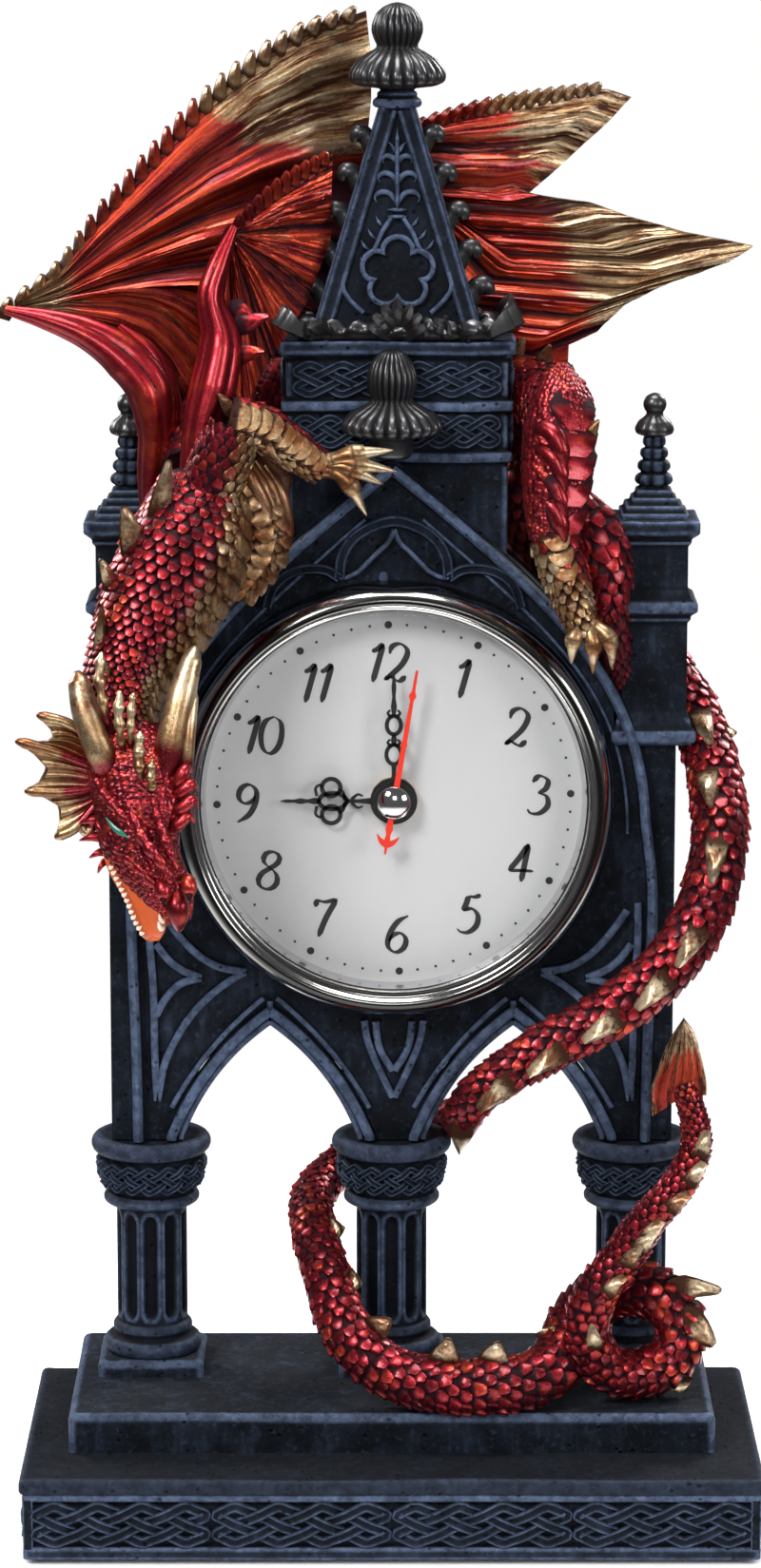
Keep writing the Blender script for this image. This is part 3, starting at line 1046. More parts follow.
def cast_ornaments(skins):
    """The crockets, the garland of leaves and the two ribbed finials."""
    for name, s in (("left", -1), ("right", 1)):
        skin = skins[f"crocket_rail_{name}"]
        for z in (239.4, 246.6, 254, 261.4, 268.8):
            x = TOWER_X + s * spire_half(z)[0]
            size = 1.12 - 0.006 * (z - 239)
            hook = points([(x - s * 1.6, TOWER_Y, z - 3.4), (x - s * 0.3, TOWER_Y, z - 1.4),
                           (x + s * 0.9 * size, TOWER_Y, z + 0.6), (x + s * 2.0 * size, TOWER_Y, z + 1.5),
                           (x + s * 3.2 * size, TOWER_Y, z + 1.0), (x + s * 3.3 * size, TOWER_Y, z - 0.1)])
            bulge = 0.5 + 0.5 * np.sin(np.linspace(0, TAU, 14, endpoint=False))[None] + np.zeros((24, 1))
            tube(skin, curve(hook, 24), evenly([0.8, 1.3, 1.3, 1.2, 1.4, 0.6], 24) * size, 14, 1.5, (0, 1, 0),
                 wear=0.5 + 0.5 * bulge, deep=0.3 * (1 - bulge))
    skin = skins["leaf_garland"]
    rng = np.random.default_rng(7)
    loop = points([(-16.5, 10.6), (18.5, 10.6), (18.5, 25.8), (-16.5, 25.8), (-16.5, 10.6)])
    flat = along(loop, np.linspace(0, 1, 161))[:-1]
    wave = 0.5 * np.sin(np.arange(160) * 0.9) + 0.35 * np.sin(np.arange(160) * 0.37)
    path = np.stack([flat[:, 0], flat[:, 1], 233.1 + 0.6 * wave], -1)
    angle = np.linspace(0, TAU, 12, endpoint=False)
    out = unit(flat - [TOWER_X, TOWER_Y])
    radius = (1.75 + 0.7 * wave)[:, None]
    grid = np.concatenate([path[:, None, :2] + out[:, None] * (radius * np.cos(angle))[..., None],
                           (path[:, None, 2:] + (radius * np.sin(angle))[..., None])], -1)
    skin.sheet(grid, closed=True, wear=np.maximum(np.sin(angle), 0), deep=np.maximum(-np.sin(angle), 0))
    for x in (-16.5, 18.5):
        for y in (10.6, 25.8):
            root = np.tile([[x, y, 232.6]], (3, 1))
            way = unit(points([[x - TOWER_X, (y - TOWER_Y) * a, 9] for a in (0.15, 0.5, 1.1)]) * [1, 1, 1])
            up = unit(np.cross(way, points([-(y - TOWER_Y), x - TOWER_X, 0])))
            leaves(skin, root, way, up * np.sign(up[:, 2:] + 1e-9), [6.8, 7.4, 6.2], 2.8, 2.2, 0.3,
                   wear=1.0, bend=0.7)
    for x, y, s in ((1, 10.4, -1), (1, 26, 1)):
        fan = np.radians(np.linspace(-72, 72, 7))
        way = np.stack([np.sin(fan), np.full(7, 0.1 * s), np.cos(fan)], -1)
        leaves(skin, np.tile([[x, y, 232.0]], (7, 1)), unit(way), (0, s, 0.25), 7.4 - 1.2 * np.abs(fan),
               1.7, 2.6, 0.2, wear=1.0, bend=0.4)
    spots = along(loop, rng.random(46))
    away = unit(np.column_stack([spots - [TOWER_X, TOWER_Y], np.full(46, 2.0)]))
    turn = rng.random(46) * TAU
    way = unit(np.stack([np.cos(turn), np.sin(turn), 0.6 * rng.random(46)], -1))
    up = perpendicular(away, way)
    root = np.column_stack([spots, 232.8 + 0.9 * rng.random(46)]) - way * 1.4
    leaves(skin, root, way, up, 3.0 + 2.2 * rng.random(46), 1.7, 2.3, 0.1, wear=1.0)
    skin = skins["top_finial"]
    turned(skin, TOWER_X, TOWER_Y, edged([(3.2, 278.2), (3.4, 279.0), (7.6, 279.5), (9.2, 280.3),
                                          (9.5, 281.4), (9.1, 282.7), (7.7, 284.4), (5.6, 285.8),
                                          (4.2, 286.5), (3.9, 287.2), (4.5, 288.3), (5.0, 289.8),
                                          (4.9, 291.5), (4.1, 293.2), (2.8, 294.4), (1.3, 295.1),
                                          (0.2, 295.3)], 0.3, 3), 176, lobed(22, 0.09, 279.3))
    skin = skins["gable_finial"]
    turned(skin, 0, 8.6, edged([(3.4, 209), (4.1, 209.6), (4.1, 212.4), (5.4, 213), (8.9, 213.6),
                                (9.9, 214.6), (9.8, 215.8), (8.4, 217.5), (6, 218.8), (4.4, 219.6),
                                (4.0, 220.4), (4.7, 221.8), (4.9, 223.6), (4.7, 225.6), (3.9, 227.6),
                                (2.5, 229.2), (1, 229.9), (0.2, 230)], 0.3, 3), 176, lobed(22, 0.1, 213.2),
           limit=9.8)


# ------------------------------------------------------------------ clock

def make_case_rings():
    """The bezel, the glass, the bright ring behind it and the dial."""
    skin = Skin()
    on_clock(skin, [(43, 9.2), (43.05, 7), (42.8, 4.8), (42.2, 3), (41.4, 1.8), (40.5, 1.15), (39.7, 1.0),
                    (39.3, 1.25), (39.1, 1.5), (38.8, 1.25), (38.4, 1.35), (38.1, 1.8), (38.0, 2.6),
                    (38.0, 3.1), (38.75, 3.15), (38.8, 4.8), (38.8, 8.2), (39.0, 8.3), (39.0, 16.2),
                    (39.7, 16.2), (39.7, 9.3), (39.75, 9.2)], 192,
             deep=points([[0.9], [0.9], [0.7], [0], [0.5], [0.95], [0.95], [0.5], [0], [0], [0.6], [1], [1],
                          [1], [1], [1], [1], [1], [1], [1], [1], [1]]))
    make(skin, "chrome_bezel", "chrome", "bezel", crease=50)
    skin = Skin()
    r = np.array([0.3, 6, 12, 18, 24, 29, 33, 36, 38, 38.7])
    front = 0.2 + 3.0 * (r / 38.7)**2
    front[-1] = 3.3
    on_clock(skin, np.concatenate([np.stack([r, front], -1), np.stack([r, front + 1.35], -1)[::-1]]), 144,
             ring=False)
    make(skin, "domed_glass", "clear_glass", "lens", crease=60)
    skin = Skin()
    on_clock(skin, [(38.7, 4.9), (38.2, 4.9), (37.9, 5.3), (37.6, 5.2), (37.3, 5.9), (36.9, 6.7),
                    (36.7, 7.45), (38.7, 7.45)], 192)
    make(skin, "bright_ring", "silver_ring", "reflector_ring", crease=50)


NUMERALS = {
    "0": [[(0.36, 0.98), (0.14, 0.86), (0.02, 0.5), (0.08, 0.12), (0.24, 0), (0.44, 0.14), (0.56, 0.5),
           (0.52, 0.86), (0.36, 0.98)]],
    "1": [[(0.1, 0.8), (0.24, 0.86), (0.4, 1)], [(0.4, 1), (0.26, 0.5), (0.12, 0)]],
    "2": [[(0.14, 0.74), (0.2, 0.93), (0.42, 1), (0.6, 0.82), (0.5, 0.52), (0.24, 0.24), (0, 0.06)],
          [(0, 0.06), (0.14, 0.13), (0.38, 0.02), (0.56, 0.15)]],
    "3": [[(0.16, 0.84), (0.34, 1), (0.56, 0.88), (0.5, 0.66), (0.3, 0.55)],
          [(0.3, 0.55), (0.52, 0.46), (0.56, 0.22), (0.34, 0.01), (0.1, 0.02), (0.03, 0.12)]],
    "4": [[(0.52, 1), (0.28, 0.64), (0, 0.3)], [(0, 0.3), (0.3, 0.3), (0.64, 0.28)],
          [(0.52, 1), (0.42, 0.5), (0.32, 0)]],
    "5": [[(0.62, 1), (0.46, 0.95), (0.3, 0.97)], [(0.3, 0.97), (0.24, 0.78), (0.16, 0.58)],
          [(0.16, 0.58), (0.38, 0.64), (0.54, 0.46), (0.5, 0.18), (0.28, 0), (0.08, 0.02), (0, 0.1)]],
    "6": [[(0.6, 0.98), (0.34, 0.84), (0.12, 0.5), (0.07, 0.16), (0.26, 0), (0.48, 0.12), (0.54, 0.36),
           (0.4, 0.52), (0.2, 0.46), (0.09, 0.3)]],
    "7": [[(0.08, 0.8), (0.14, 0.95), (0.34, 0.93), (0.64, 1)], [(0.64, 1), (0.36, 0.5), (0.16, 0)]],
    "8": [[(0.34, 0.56), (0.17, 0.72), (0.2, 0.92), (0.4, 1), (0.58, 0.88), (0.54, 0.7), (0.34, 0.56),
           (0.1, 0.4), (0.02, 0.18), (0.16, 0.01), (0.38, 0.02), (0.52, 0.2), (0.48, 0.42), (0.34, 0.56)]],
    "9": [[(0.53, 0.7), (0.42, 0.54), (0.22, 0.5), (0.09, 0.66), (0.16, 0.9), (0.36, 1), (0.54, 0.86),
           (0.54, 0.56), (0.36, 0.2), (0.06, 0)]],
}
NUMERAL_HIGH = 7.5
DIAL_TURN = math.radians(1.8)  # the insert sits a little askew
DIAL_FRONT = 7.5


def print_dial():
    """The dial, and the dots and slanted numerals printed on it, drawn as by a broad nib."""
    skin = Skin()
    on_clock(skin, [(3.2, DIAL_FRONT), (20, DIAL_FRONT), (38.4, DIAL_FRONT), (38.4, 8.2), (3.2, 8.2)], 144)
    make(skin, "dial_card", "dial_face", "dial")
    skin = Skin()
    for i in range(60):
        angle = i * TAU / 60 - DIAL_TURN
        x, z = CLOCK_X + 34.5 * math.sin(angle), CLOCK_Z + 34.5 * math.cos(angle)
        r = 0.27 if i % 5 else 0.74
        ring = np.linspace(0, TAU, 20, endpoint=False)
        grid = np.stack([np.stack([x + r * np.cos(ring), np.full(20, y), z + r * np.sin(ring)], -1)
                         for y in (DIAL_FRONT - 0.06, DIAL_FRONT + 0.06)])
        skin.sheet(grid)
    for hour in range(1, 13):
        angle = hour * TAU / 12 - DIAL_TURN
        digits = [(NUMERALS[c], 0.42 if c == "1" else 0.68) for c in str(hour)]
        pen = -sum(advance for _, advance in digits) / 2
        for strokes, advance in digits:
            for stroke in strokes:
                flat = curve(stroke, 26)
                way = ways(flat)
                nib = 0.42 + 0.9 * np.abs(way[:, 1] * 0.8 + way[:, 0] * 0.35)**1.3
                end = ease(np.minimum(np.arange(26), 25 - np.arange(26)) / 3) * 0.6 + 0.4
                x = CLOCK_X + 28.4 * math.sin(angle) + (pen + flat[:, 0]) * NUMERAL_HIGH
                z = CLOCK_Z + 27.0 * math.cos(angle) + (flat[:, 1] - 0.5) * NUMERAL_HIGH
                path = np.stack([x, np.full(26, DIAL_FRONT), z], -1)
                strand(skin, path, (0, -1, 0), nib * end, 0.07, FLAT)
            pen += advance
    make(skin, "dial_print", "black_print", None, "dial_face", INSERT)


HAND_HALF = 0.17


def hub(skin, y, inner, outer, sides=64):
    """The ring in the middle of a hand."""
    on_clock(skin, [(inner, y - HAND_HALF), (outer, y - HAND_HALF), (outer, y + HAND_HALF),
                    (inner, y + HAND_HALF)], sides)


def loop_of(x, z, rx, rz):
    """An oval of points about (x, z)."""
    angle = np.linspace(0, TAU, 28, endpoint=False)
    return np.stack([x + rx * np.cos(angle), z + rz * np.sin(angle)], -1)


def hand_part(skin, rows, width, y, turn, closed=False, thick=HAND_HALF):
    """A flat bar of a hand along rows of (across, out), turned clockwise from twelve."""
    if not closed:
        rows, width = curve(rows, 20), evenly(width, 20)
    x = CLOCK_X + rows[:, 0] * math.cos(turn) + rows[:, 1] * math.sin(turn)
    z = CLOCK_Z - rows[:, 0] * math.sin(turn) + rows[:, 1] * math.cos(turn)
    path = np.stack([x, np.full(len(rows), y), z], -1)
    strand(skin, path, (0, -1, 0), width, thick, FLAT, closed=closed)


def make_hands():
    """The black looped hour and minute hands, and the red second hand with its chrome cap."""
    skin = Skin()
    y, turn = 5.6, -TAU / 4
    hub(skin, y, 2.2, 4.6)
    hand_part(skin, [(0, 4.4), (0, 8.6), (0, 9.4)], [1.3, 0.7, 0.9], y, turn)
    for s in (-1, 1):
        hand_part(skin, [(s * 0.4, 8.2), (s * 1.3, 7.0), (s * 1.0, 6.0)], [0.7, 0.5, 0.3], y, turn)
        hand_part(skin, loop_of(s * 2.7, 12.2, 1.7, 1.8), 0.85, y, turn, True)
        hand_part(skin, [(s * 1.0, 15.0), (s * 2.6, 15.2), (s * 3.2, 14.4), (s * 2.7, 13.8)],
                  [0.6, 0.6, 0.5, 0.4], y, turn)
        hand_part(skin, [(s * 0.3, 9.5), (s * 1.8, 9.9), (s * 2.4, 10.6)], [0.8, 0.6, 0.5], y, turn)
    hand_part(skin, loop_of(0, 11.9, 1.6, 2.7), 0.85, y, turn, True)
    hand_part(skin, [(0, 14.2), (0, 15.6), (0, 16.4), (0, 17.3), (0, 18.6), (0, 19.2), (0, 22.1)],
              [1.0, 1.3, 0.6, 1.2, 0.5, 0.7, 0.1], y, turn)
    make(skin, "looped_hour_hand", "hand_black", "hour_hand", "hand_black", "hour_arbor")
    skin = Skin()
    y, turn = 4.7, 0.0
    hub(skin, y, 1.6, 4.0)
    hand_part(skin, [(0, 3.8), (0, 6.8), (0, 7.2)], [1.5, 0.8, 1.0], y, turn)
    for z, size in ((9.4, 1.0), (15.2, 0.95)):
        hand_part(skin, loop_of(0, z, 1.45 * size, 1.9 * size), 0.8, y, turn, True)
        for s in (-1, 1):
            hand_part(skin, [(s * 0.5, z + 1.6), (s * 1.2, z + 2.4), (s * 0.7, z + 3.0)], [0.7, 0.5, 0.4],
                      y, turn)
    hand_part(skin, [(0, 11.2), (0, 12.2), (0, 13.4)], [0.7, 1.2, 0.7], y, turn)
    hand_part(skin, [(0, 17), (0, 18), (0, 19.2), (0, 20.4), (0, 21.4), (0, 26.4)],
              [0.7, 1.2, 0.6, 1.0, 0.5, 0.12], y, turn)
    make(skin, "looped_minute_hand", "hand_black", "minute_hand", "hand_black", "minute_arbor")
    skin = Skin()
    y, turn = 3.8, math.radians(9.75)
    hub(skin, y, 0.4, 2.9, 48)
    hand_part(skin, [(0, -10.4), (0, -9.2), (0, -8.8), (0, -5.2), (0, -2.5)], [0.4, 0.6, 0.5, 1.2, 0.9], y,
              turn)
    hand_part(skin, [(0, 2.5), (0, 12), (0, 20), (0, 26.5)], [1.15, 1.0, 0.8, 0.5], y, turn)
    for z, wide in ((11.6, 1.35), (21.4, 1.5)):
        hand_part(skin, [(0, z - 1.2), (0, z), (0, z + 1.2)], [0.5, wide, 0.5], y, turn, thick=0.2)
    hand_part(skin, [(-2.2, -6.6), (-1.1, -7.9), (0, -8.3), (1.1, -7.9), (2.2, -6.6)],
              [0.1, 0.9, 1.5, 0.9, 0.1], y, turn, thick=0.2)
    hand_part(skin, [(0, -4.2), (0, -5.6), (0, -6.4), (0, -7.6)], [1.0, 1.5, 0.8, 1.2], y, turn, thick=0.23)
    make(skin, "red_second_hand", "hand_red", "second_hand", "hand_red", "second_arbor")
    skin = Skin()
    r = np.array([0.15, 0.9, 1.7, 2.4, 2.9, 3.15, 3.2])
    on_clock(skin, np.concatenate([np.stack([r, 2.1 + 1.3 * (r / 3.2)**2.4], -1),
                                   [[3.2, 3.6], [0.15, 3.6]]]), 64, ring=False)
    make(skin, "second_hand_cap", "chrome", None, "hand_red", "second_arbor", crease=50)


# ------------------------------------------------------------------ stage

LAMPS = (("key", (-0.45, -0.6, 0.75), 0.16, 0.28, 8.5), ("fill", (0.75, -0.5, 0.4), 0.14, 0.3, 4),
         ("front", (0.1, -1.3, 0.6), 0.12, 0.35, 5.5), ("top", (0, 0, 0.95), 0.15, 0.4, 9),
         ("rim", (0.5, 0.6, 0.6), 0.18, 0.3, 6), ("rim_left", (-0.6, 0.5, 0.5), 0.18, 0.3, 5))


def lamp(name, at, aim, size, power):
    """An area lamp of that size, in metres, that looks at a point."""
    data = bpy.data.lights.new(name, "AREA")
    data.shape, data.size, data.energy = "SQUARE", size, power
    made = bpy.data.objects.new(name, data)
    made.location = at
    made.rotation_euler = (Vector(aim) - Vector(at)).to_track_quat("-Z", "Y").to_euler()
    bpy.context.scene.collection.objects.link(made)


def set_stage():
    """The pale floor, the white surroundings, the lamps and the camera."""
    scene = bpy.context.scene
    scene.view_settings.view_transform = "Standard"
    floor = bpy.data.meshes.new("floor")
    floor.from_pydata([(-2, -2, 0), (2, -2, 0), (2, 2, 0), (-2, 2, 0)], [], [(0, 1, 2, 3)])
    s = Shader("floor", Specular_IOR_Level=0.2)
    cloud = s.noise(300, 2)
    x, y = (s.node("ShaderNodeSeparateXYZ", {}, {0: s.place()}, k) for k in range(2))
    s.set(Base_Color=s.mix(cloud, (0.95, 0.95, 0.95), (0.92, 0.92, 0.92)), Roughness=0.55 + 0.1 * cloud,
          Alpha=1 - ((x * x + y * y) ** 0.5).between(0.12, 0.34))
    floor.materials.append(s.material)
    piece = bpy.data.objects.new("floor", floor)
    scene.collection.objects.link(piece)
    world = bpy.data.worlds.new("surroundings")
    scene.world = world
    world.use_nodes = True
    tree = world.node_tree
    tree.nodes.clear()
    rays = tree.nodes.new("ShaderNodeLightPath")
    plain, seen = tree.nodes.new("ShaderNodeBackground"), tree.nodes.new("ShaderNodeBackground")
    plain.inputs["Strength"].default_value = 0.12
    seen.inputs["Color"].default_value = (1, 1, 1, 1)
    plain.inputs["Color"].default_value = (0.86, 0.9, 1, 1)
    mix, out = tree.nodes.new("ShaderNodeMixShader"), tree.nodes.new("ShaderNodeOutputWorld")
    tree.links.new(rays.outputs["Is Camera Ray"], mix.inputs[0])
    tree.links.new(plain.outputs[0], mix.inputs[1])
    tree.links.new(seen.outputs[0], mix.inputs[2])
    tree.links.new(mix.outputs[0], out.inputs[0])
    for name, at, aim, size, power in LAMPS:
        lamp(name, at, (0, 0, aim), size, power)
    camera = bpy.data.cameras.new("camera")
    camera.lens, camera.sensor_width = 115.7, 36
    eye = bpy.data.objects.new("camera", camera)
    eye.location, eye.rotation_euler = (-0.0022, -0.9554, 0.3409), (math.radians(78.5), 0, 0)
    scene.collection.objects.link(eye)
    scene.camera = eye


# ------------------------------------------------------------------ dragon

BODY = [(-37.5, -2, 207), (-35.5, 8, 213), (-32, 20, 217), (-22, 29, 219), (-8, 31.5, 220), (8, 31.5, 220),
        (22, 29, 219), (30.5, 20, 218), (32.5, 11, 217)]
BODY_RADII = [6.6, 7.6, 7.4, 7, 6.8, 7, 7.6, 7.8, 6.4]
NECK = [(-35.4, -3.6, 204), (-39.2, -9, 193.5), (-45.2, -12.6, 181.5), (-50.6, -16, 170), (-51.3, -20, 160.5)]
NECK_RADII = [9.6, 12, 11.2, 8.2, 6]
TAIL = [(46.5, 29, 182), (52.5, 26.5, 168), (59.8, 18, 156), (63.2, 6, 144.5), (63.2, -2, 134.5),
        (60.2, -4, 122), (52.8, -5.5, 111), (41.8, -6.5, 102.2), (29, -6, 94.8), (17.5, -4, 86.2),
        (13.8, 1.5, 79.8), (14.2, 10, 77), (13.6, 20, 74.4), (8.5, 30.2, 70.5), (0, 32.6, 66.5),
        (-9.5, 29, 62.5), (-15.4, 20.5, 58.5), (-15.6, 8, 55.5), (-13, -2, 49), (-9, -9.5, 39.6),
        (-2.5, -13.5, 33.4), (7, -15.8, 30.3), (18.2, -16.2, 30), (27.6, -14, 30.6), (33.4, -7.6, 33.4),
        (36.8, 0.2, 38), (41.8, 0.4, 43.4), (48.2, -2.4, 45.6), (54, -4.4, 43.6), (56.8, -5.6, 38.6),
        (54.6, -7, 32.4), (48.8, -9, 30.4), (42.2, -11.2, 32.2), (38.2, -12, 39.4), (39.4, -11.4, 46.6),
        (43.9, -9.6, 52.4), (50.2, -8, 61.6), (55.8, -6.2, 67.6), (59.4, -3.6, 74.4), (59.1, -1.2, 80.4),
        (57, 1, 86)]
TAIL_RADII = [4.6, 4.8, 5.0, 5.2, 5.2, 5.0, 4.7, 3.9, 3.4, 3.6, 3.9, 4.1, 4.5, 4.9, 5.1, 5.3, 5.4, 5.3, 4.8,
              4.3, 3.8, 3.2, 2.3]
TAIL_PARTS = (("tail_upper", 0.0, 0.36), ("tail_lower", 0.36, 0.607), ("tail_coil", 0.607, 1.0))


def both(front, back=None):
    """Values of a thin piece's front, and of its back from right to left, side by side for one sheet."""
    return np.concatenate([front, (front if back is None else back)[:, ::-1]], 1)


def fins(skin, root, forward, flat, length, width, thick, **more):
    """Flat thorns or leaves that look alike from both sides."""
    for side in (1, -1):
        leaves(skin, root, forward, side * np.broadcast_to(flat, np.shape(root)), length, width, thick,
               sink=0.0, **more)


def thorn(skin, rows, radius, **paint):
    """A thorn, claw or tooth: a tube that narrows to a point."""
    radii = radius * (1 - np.linspace(0, 1, 12))**0.75 + 0.06
    tube(skin, curve(rows, 12), radii, 12, 1.0, (0, -1, 0), **paint)


def station(path, marks):
    """The place on the path nearest to each mark (x, z), and nearest the front where it crosses itself."""
    gap = np.hypot(*(path[None, :, i] - marks[:, j, None] for i, j in ((0, 0), (2, 1))))
    return (gap + 0.12 * path[None, :, 1]).argmin(1)


def plates_at(skin, path, radius, marks, length=11.5, width=2.8, height=2.7):
    """Pale lens-shaped plates that lie along the tail where the marks (x, z) say."""
    marks = points(marks)
    at = station(path, marks)
    way = ways(path)[at]
    off = np.stack([marks[:, 0] - path[at, 0], np.zeros(len(at)), marks[:, 1] - path[at, 2]], -1)
    reach = np.linalg.norm(off, axis=1)
    r = radius[at]
    off *= np.minimum(0.4, 0.3 * r / np.maximum(reach, 1e-6))[:, None]
    off[:, 1] = -np.sqrt(np.maximum(r**2 - (off**2).sum(1), 0.1 * r**2))
    normal = perpendicular(unit(off), way)
    leaves(skin, path[at] + normal * r[:, None] - way * length * 0.5, way, normal, length, width, height, 0.9,
           0.6, 0.6, gold=1.0, tint=1.0, wear=1.0, bend=0.25)


def spikes_at(skin, path, radius, marks, width, thick=0.9, shrink=1.0):
    """Flat gold thorns whose tips are at the marks (x, z), leaning along the tail."""
    marks = points(marks)
    at = station(path, marks)
    way = ways(path)[at]
    tip = np.stack([marks[:, 0], path[at, 1] - 0.6, marks[:, 1]], -1)
    out = perpendicular(tip - path[at], way)
    root = path[at] + out * radius[at][:, None] * 0.75 - way * 1.1
    forward = tip - root
    length = np.maximum(np.linalg.norm(forward, axis=1) * shrink, 3.0)
    forward = unit(forward)
    flat = perpendicular((0, -1, 0), forward)
    fins(skin, root, forward, flat, length, width, thick, pointed=0.85, keel=0.5, gold=1.0, tint=0.95,
         wear=1.0)


UPPER_PLATES = [(62.6, 153.2), (60.2, 143), (60.9, 132.7), (57.4, 116.7), (51.2, 107.3), (41.4, 100.7),
                (31.9, 93.5), (22.3, 86.4), (14, 79)]
COIL_PLATES = [(61.4, 74.2), (59.8, 68.4), (56.5, 63), (51.3, 58.7), (46.9, 54.1), (55.5, 52.9), (43.4, 48),
               (40.7, 39.9)]
COIL_SPIKES = [(56.4, 27.1)]
LOWER_SPIKES = [(-10.2, 62.4), (-10.7, 55.9), (-7.4, 47.6), (-1.1, 41.6), (10.8, 38.5), (20.5, 37.9),
                (31.3, 37.5)]


def tail_fin(skin):
    """The fin at the tail's end: a crowned, feathered spade whose rows run from its lobes to its tip."""
    rows = np.linspace(0, 1, 40)[:, None]
    stem = along(points([(56.6, 84), (56.9, 90), (57.1, 99.6)]), rows[:, 0])[:, None]
    left = curve([(51.2, 79.8), (50.8, 84.5), (52.2, 89.5), (54, 94.5), (57.1, 99.6)], 40)[:, None]
    right = curve([(61.7, 84.1), (61.6, 87), (60.4, 92.5), (59.2, 96.5), (57.1, 99.6)], 40)[:, None]
    across = np.linspace(-1, 1, 41)[None]
    far = np.abs(across)[..., None]
    flat = stem * (1 - far) + np.where(across[..., None] < 0, left, right) * far
    ridge = np.abs(np.sin(across * 8 + 1.2 * np.sin(across * 3) * rows))
    high = (1.5 * (1 - np.abs(across)**1.7) + 0.45 * ridge * (1 - rows)) * np.minimum(1, 1.3 - rows) + 0.12
    place = lambda out: np.stack([flat[..., 0], 1.4 - out, flat[..., 1]], -1)
    skin.sheet(both(place(high), place(-high)),
               deep=both(np.clip(0.32 - 0.3 * rows + 0.5 * (1 - ridge)**2 * (1.1 - rows), 0, 1)),
               wear=both(ridge), gold=both(np.clip(0.2 + 0.2 * ridge * ease(rows / 0.6)
                                                   + 0.6 * ease((rows - 0.45) / 0.4)
                                                   + 0.3 * np.abs(across)**6, 0, 1)),
               tint=both(0.75 + 0.2 * rows + 0 * ridge), ray=both(0.3 + 0.12 * across + 0 * rows),
               run=both(0.7 * rows + 0 * across))


def carve_tail():
    """The tail in its three pieces, with scales, plates, thorns and the fin at its end."""
    for name, start, end in TAIL_PARTS:
        skin = Skin()
        count = 300
        path = curve(TAIL, count, start, end)
        radius = evenly(TAIL_RADII, count, start, end)
        scaled(skin, path, radius * 0.93, 10, (0, 0, 1), seed=len(name), lift_by=0.46, stretch=1.7,
               pointed=0.1)
        if name == "tail_upper":
            plates_at(skin, path, radius, UPPER_PLATES)
            spikes_at(skin, path, radius, [(66.6, 154.1)], 1.6)
        elif name == "tail_lower":
            spikes_at(skin, path, radius, LOWER_SPIKES[:4], 3.2, 1.6, shrink=1.3)
        else:
            spikes_at(skin, path[:80], radius[:80], LOWER_SPIKES[4:], 3.4, 1.7, shrink=1.3)
            spikes_at(skin, path, radius, COIL_SPIKES, 3.2, 1.9, shrink=1.25)
            plates_at(skin, path, radius, COIL_PLATES, 7.0, 2.1, 2.4)
            fins(skin, points([(54.4, -7.4, 47.8), (56.2, -9.6, 42.8)]),
                 unit(points([(1, 0, -0.1), (0.72, 0.05, -0.69)])), (0, -1, 0), [10.3, 9.8], [2.5, 3.6],
                 2.2, pointed=0.7, keel=0.6, gold=1.0, tint=0.9, wear=1.0)
        make(skin, name.replace("tail", "scaled_tail"), "dragon_red", name, "dragon_red", crease=55)
    skin = Skin()
    tail_fin(skin)
    make(skin, "feathered_tail_fin", "dragon_wing", None, "dragon_red", crease=50)


def belly(skin, path, radius, facing, width, pitch, gold, lift_by=0.16, shade=0.0):
    """A row of broad plates along the side of a round skin that faces a direction."""
    length = segments(path).sum()
    share = np.arange(0.03, 0.97, pitch / length)
    at = (share * (len(path) - 1)).astype(int)
    way = frames(path)[0][at]
    normal = perpendicular(facing, way)
    r = radius[at]
    leaves(skin, path[at] + normal * (r * 0.93)[:, None] - way * pitch * 0.6, way, normal, pitch * 1.7,
           r * width, r * lift_by, 0.1, 0.8, 0.0, gold, tint=0.5 - 0.5 * shade, wear=1.0 - shade, bend=0.1,
           shade=shade)


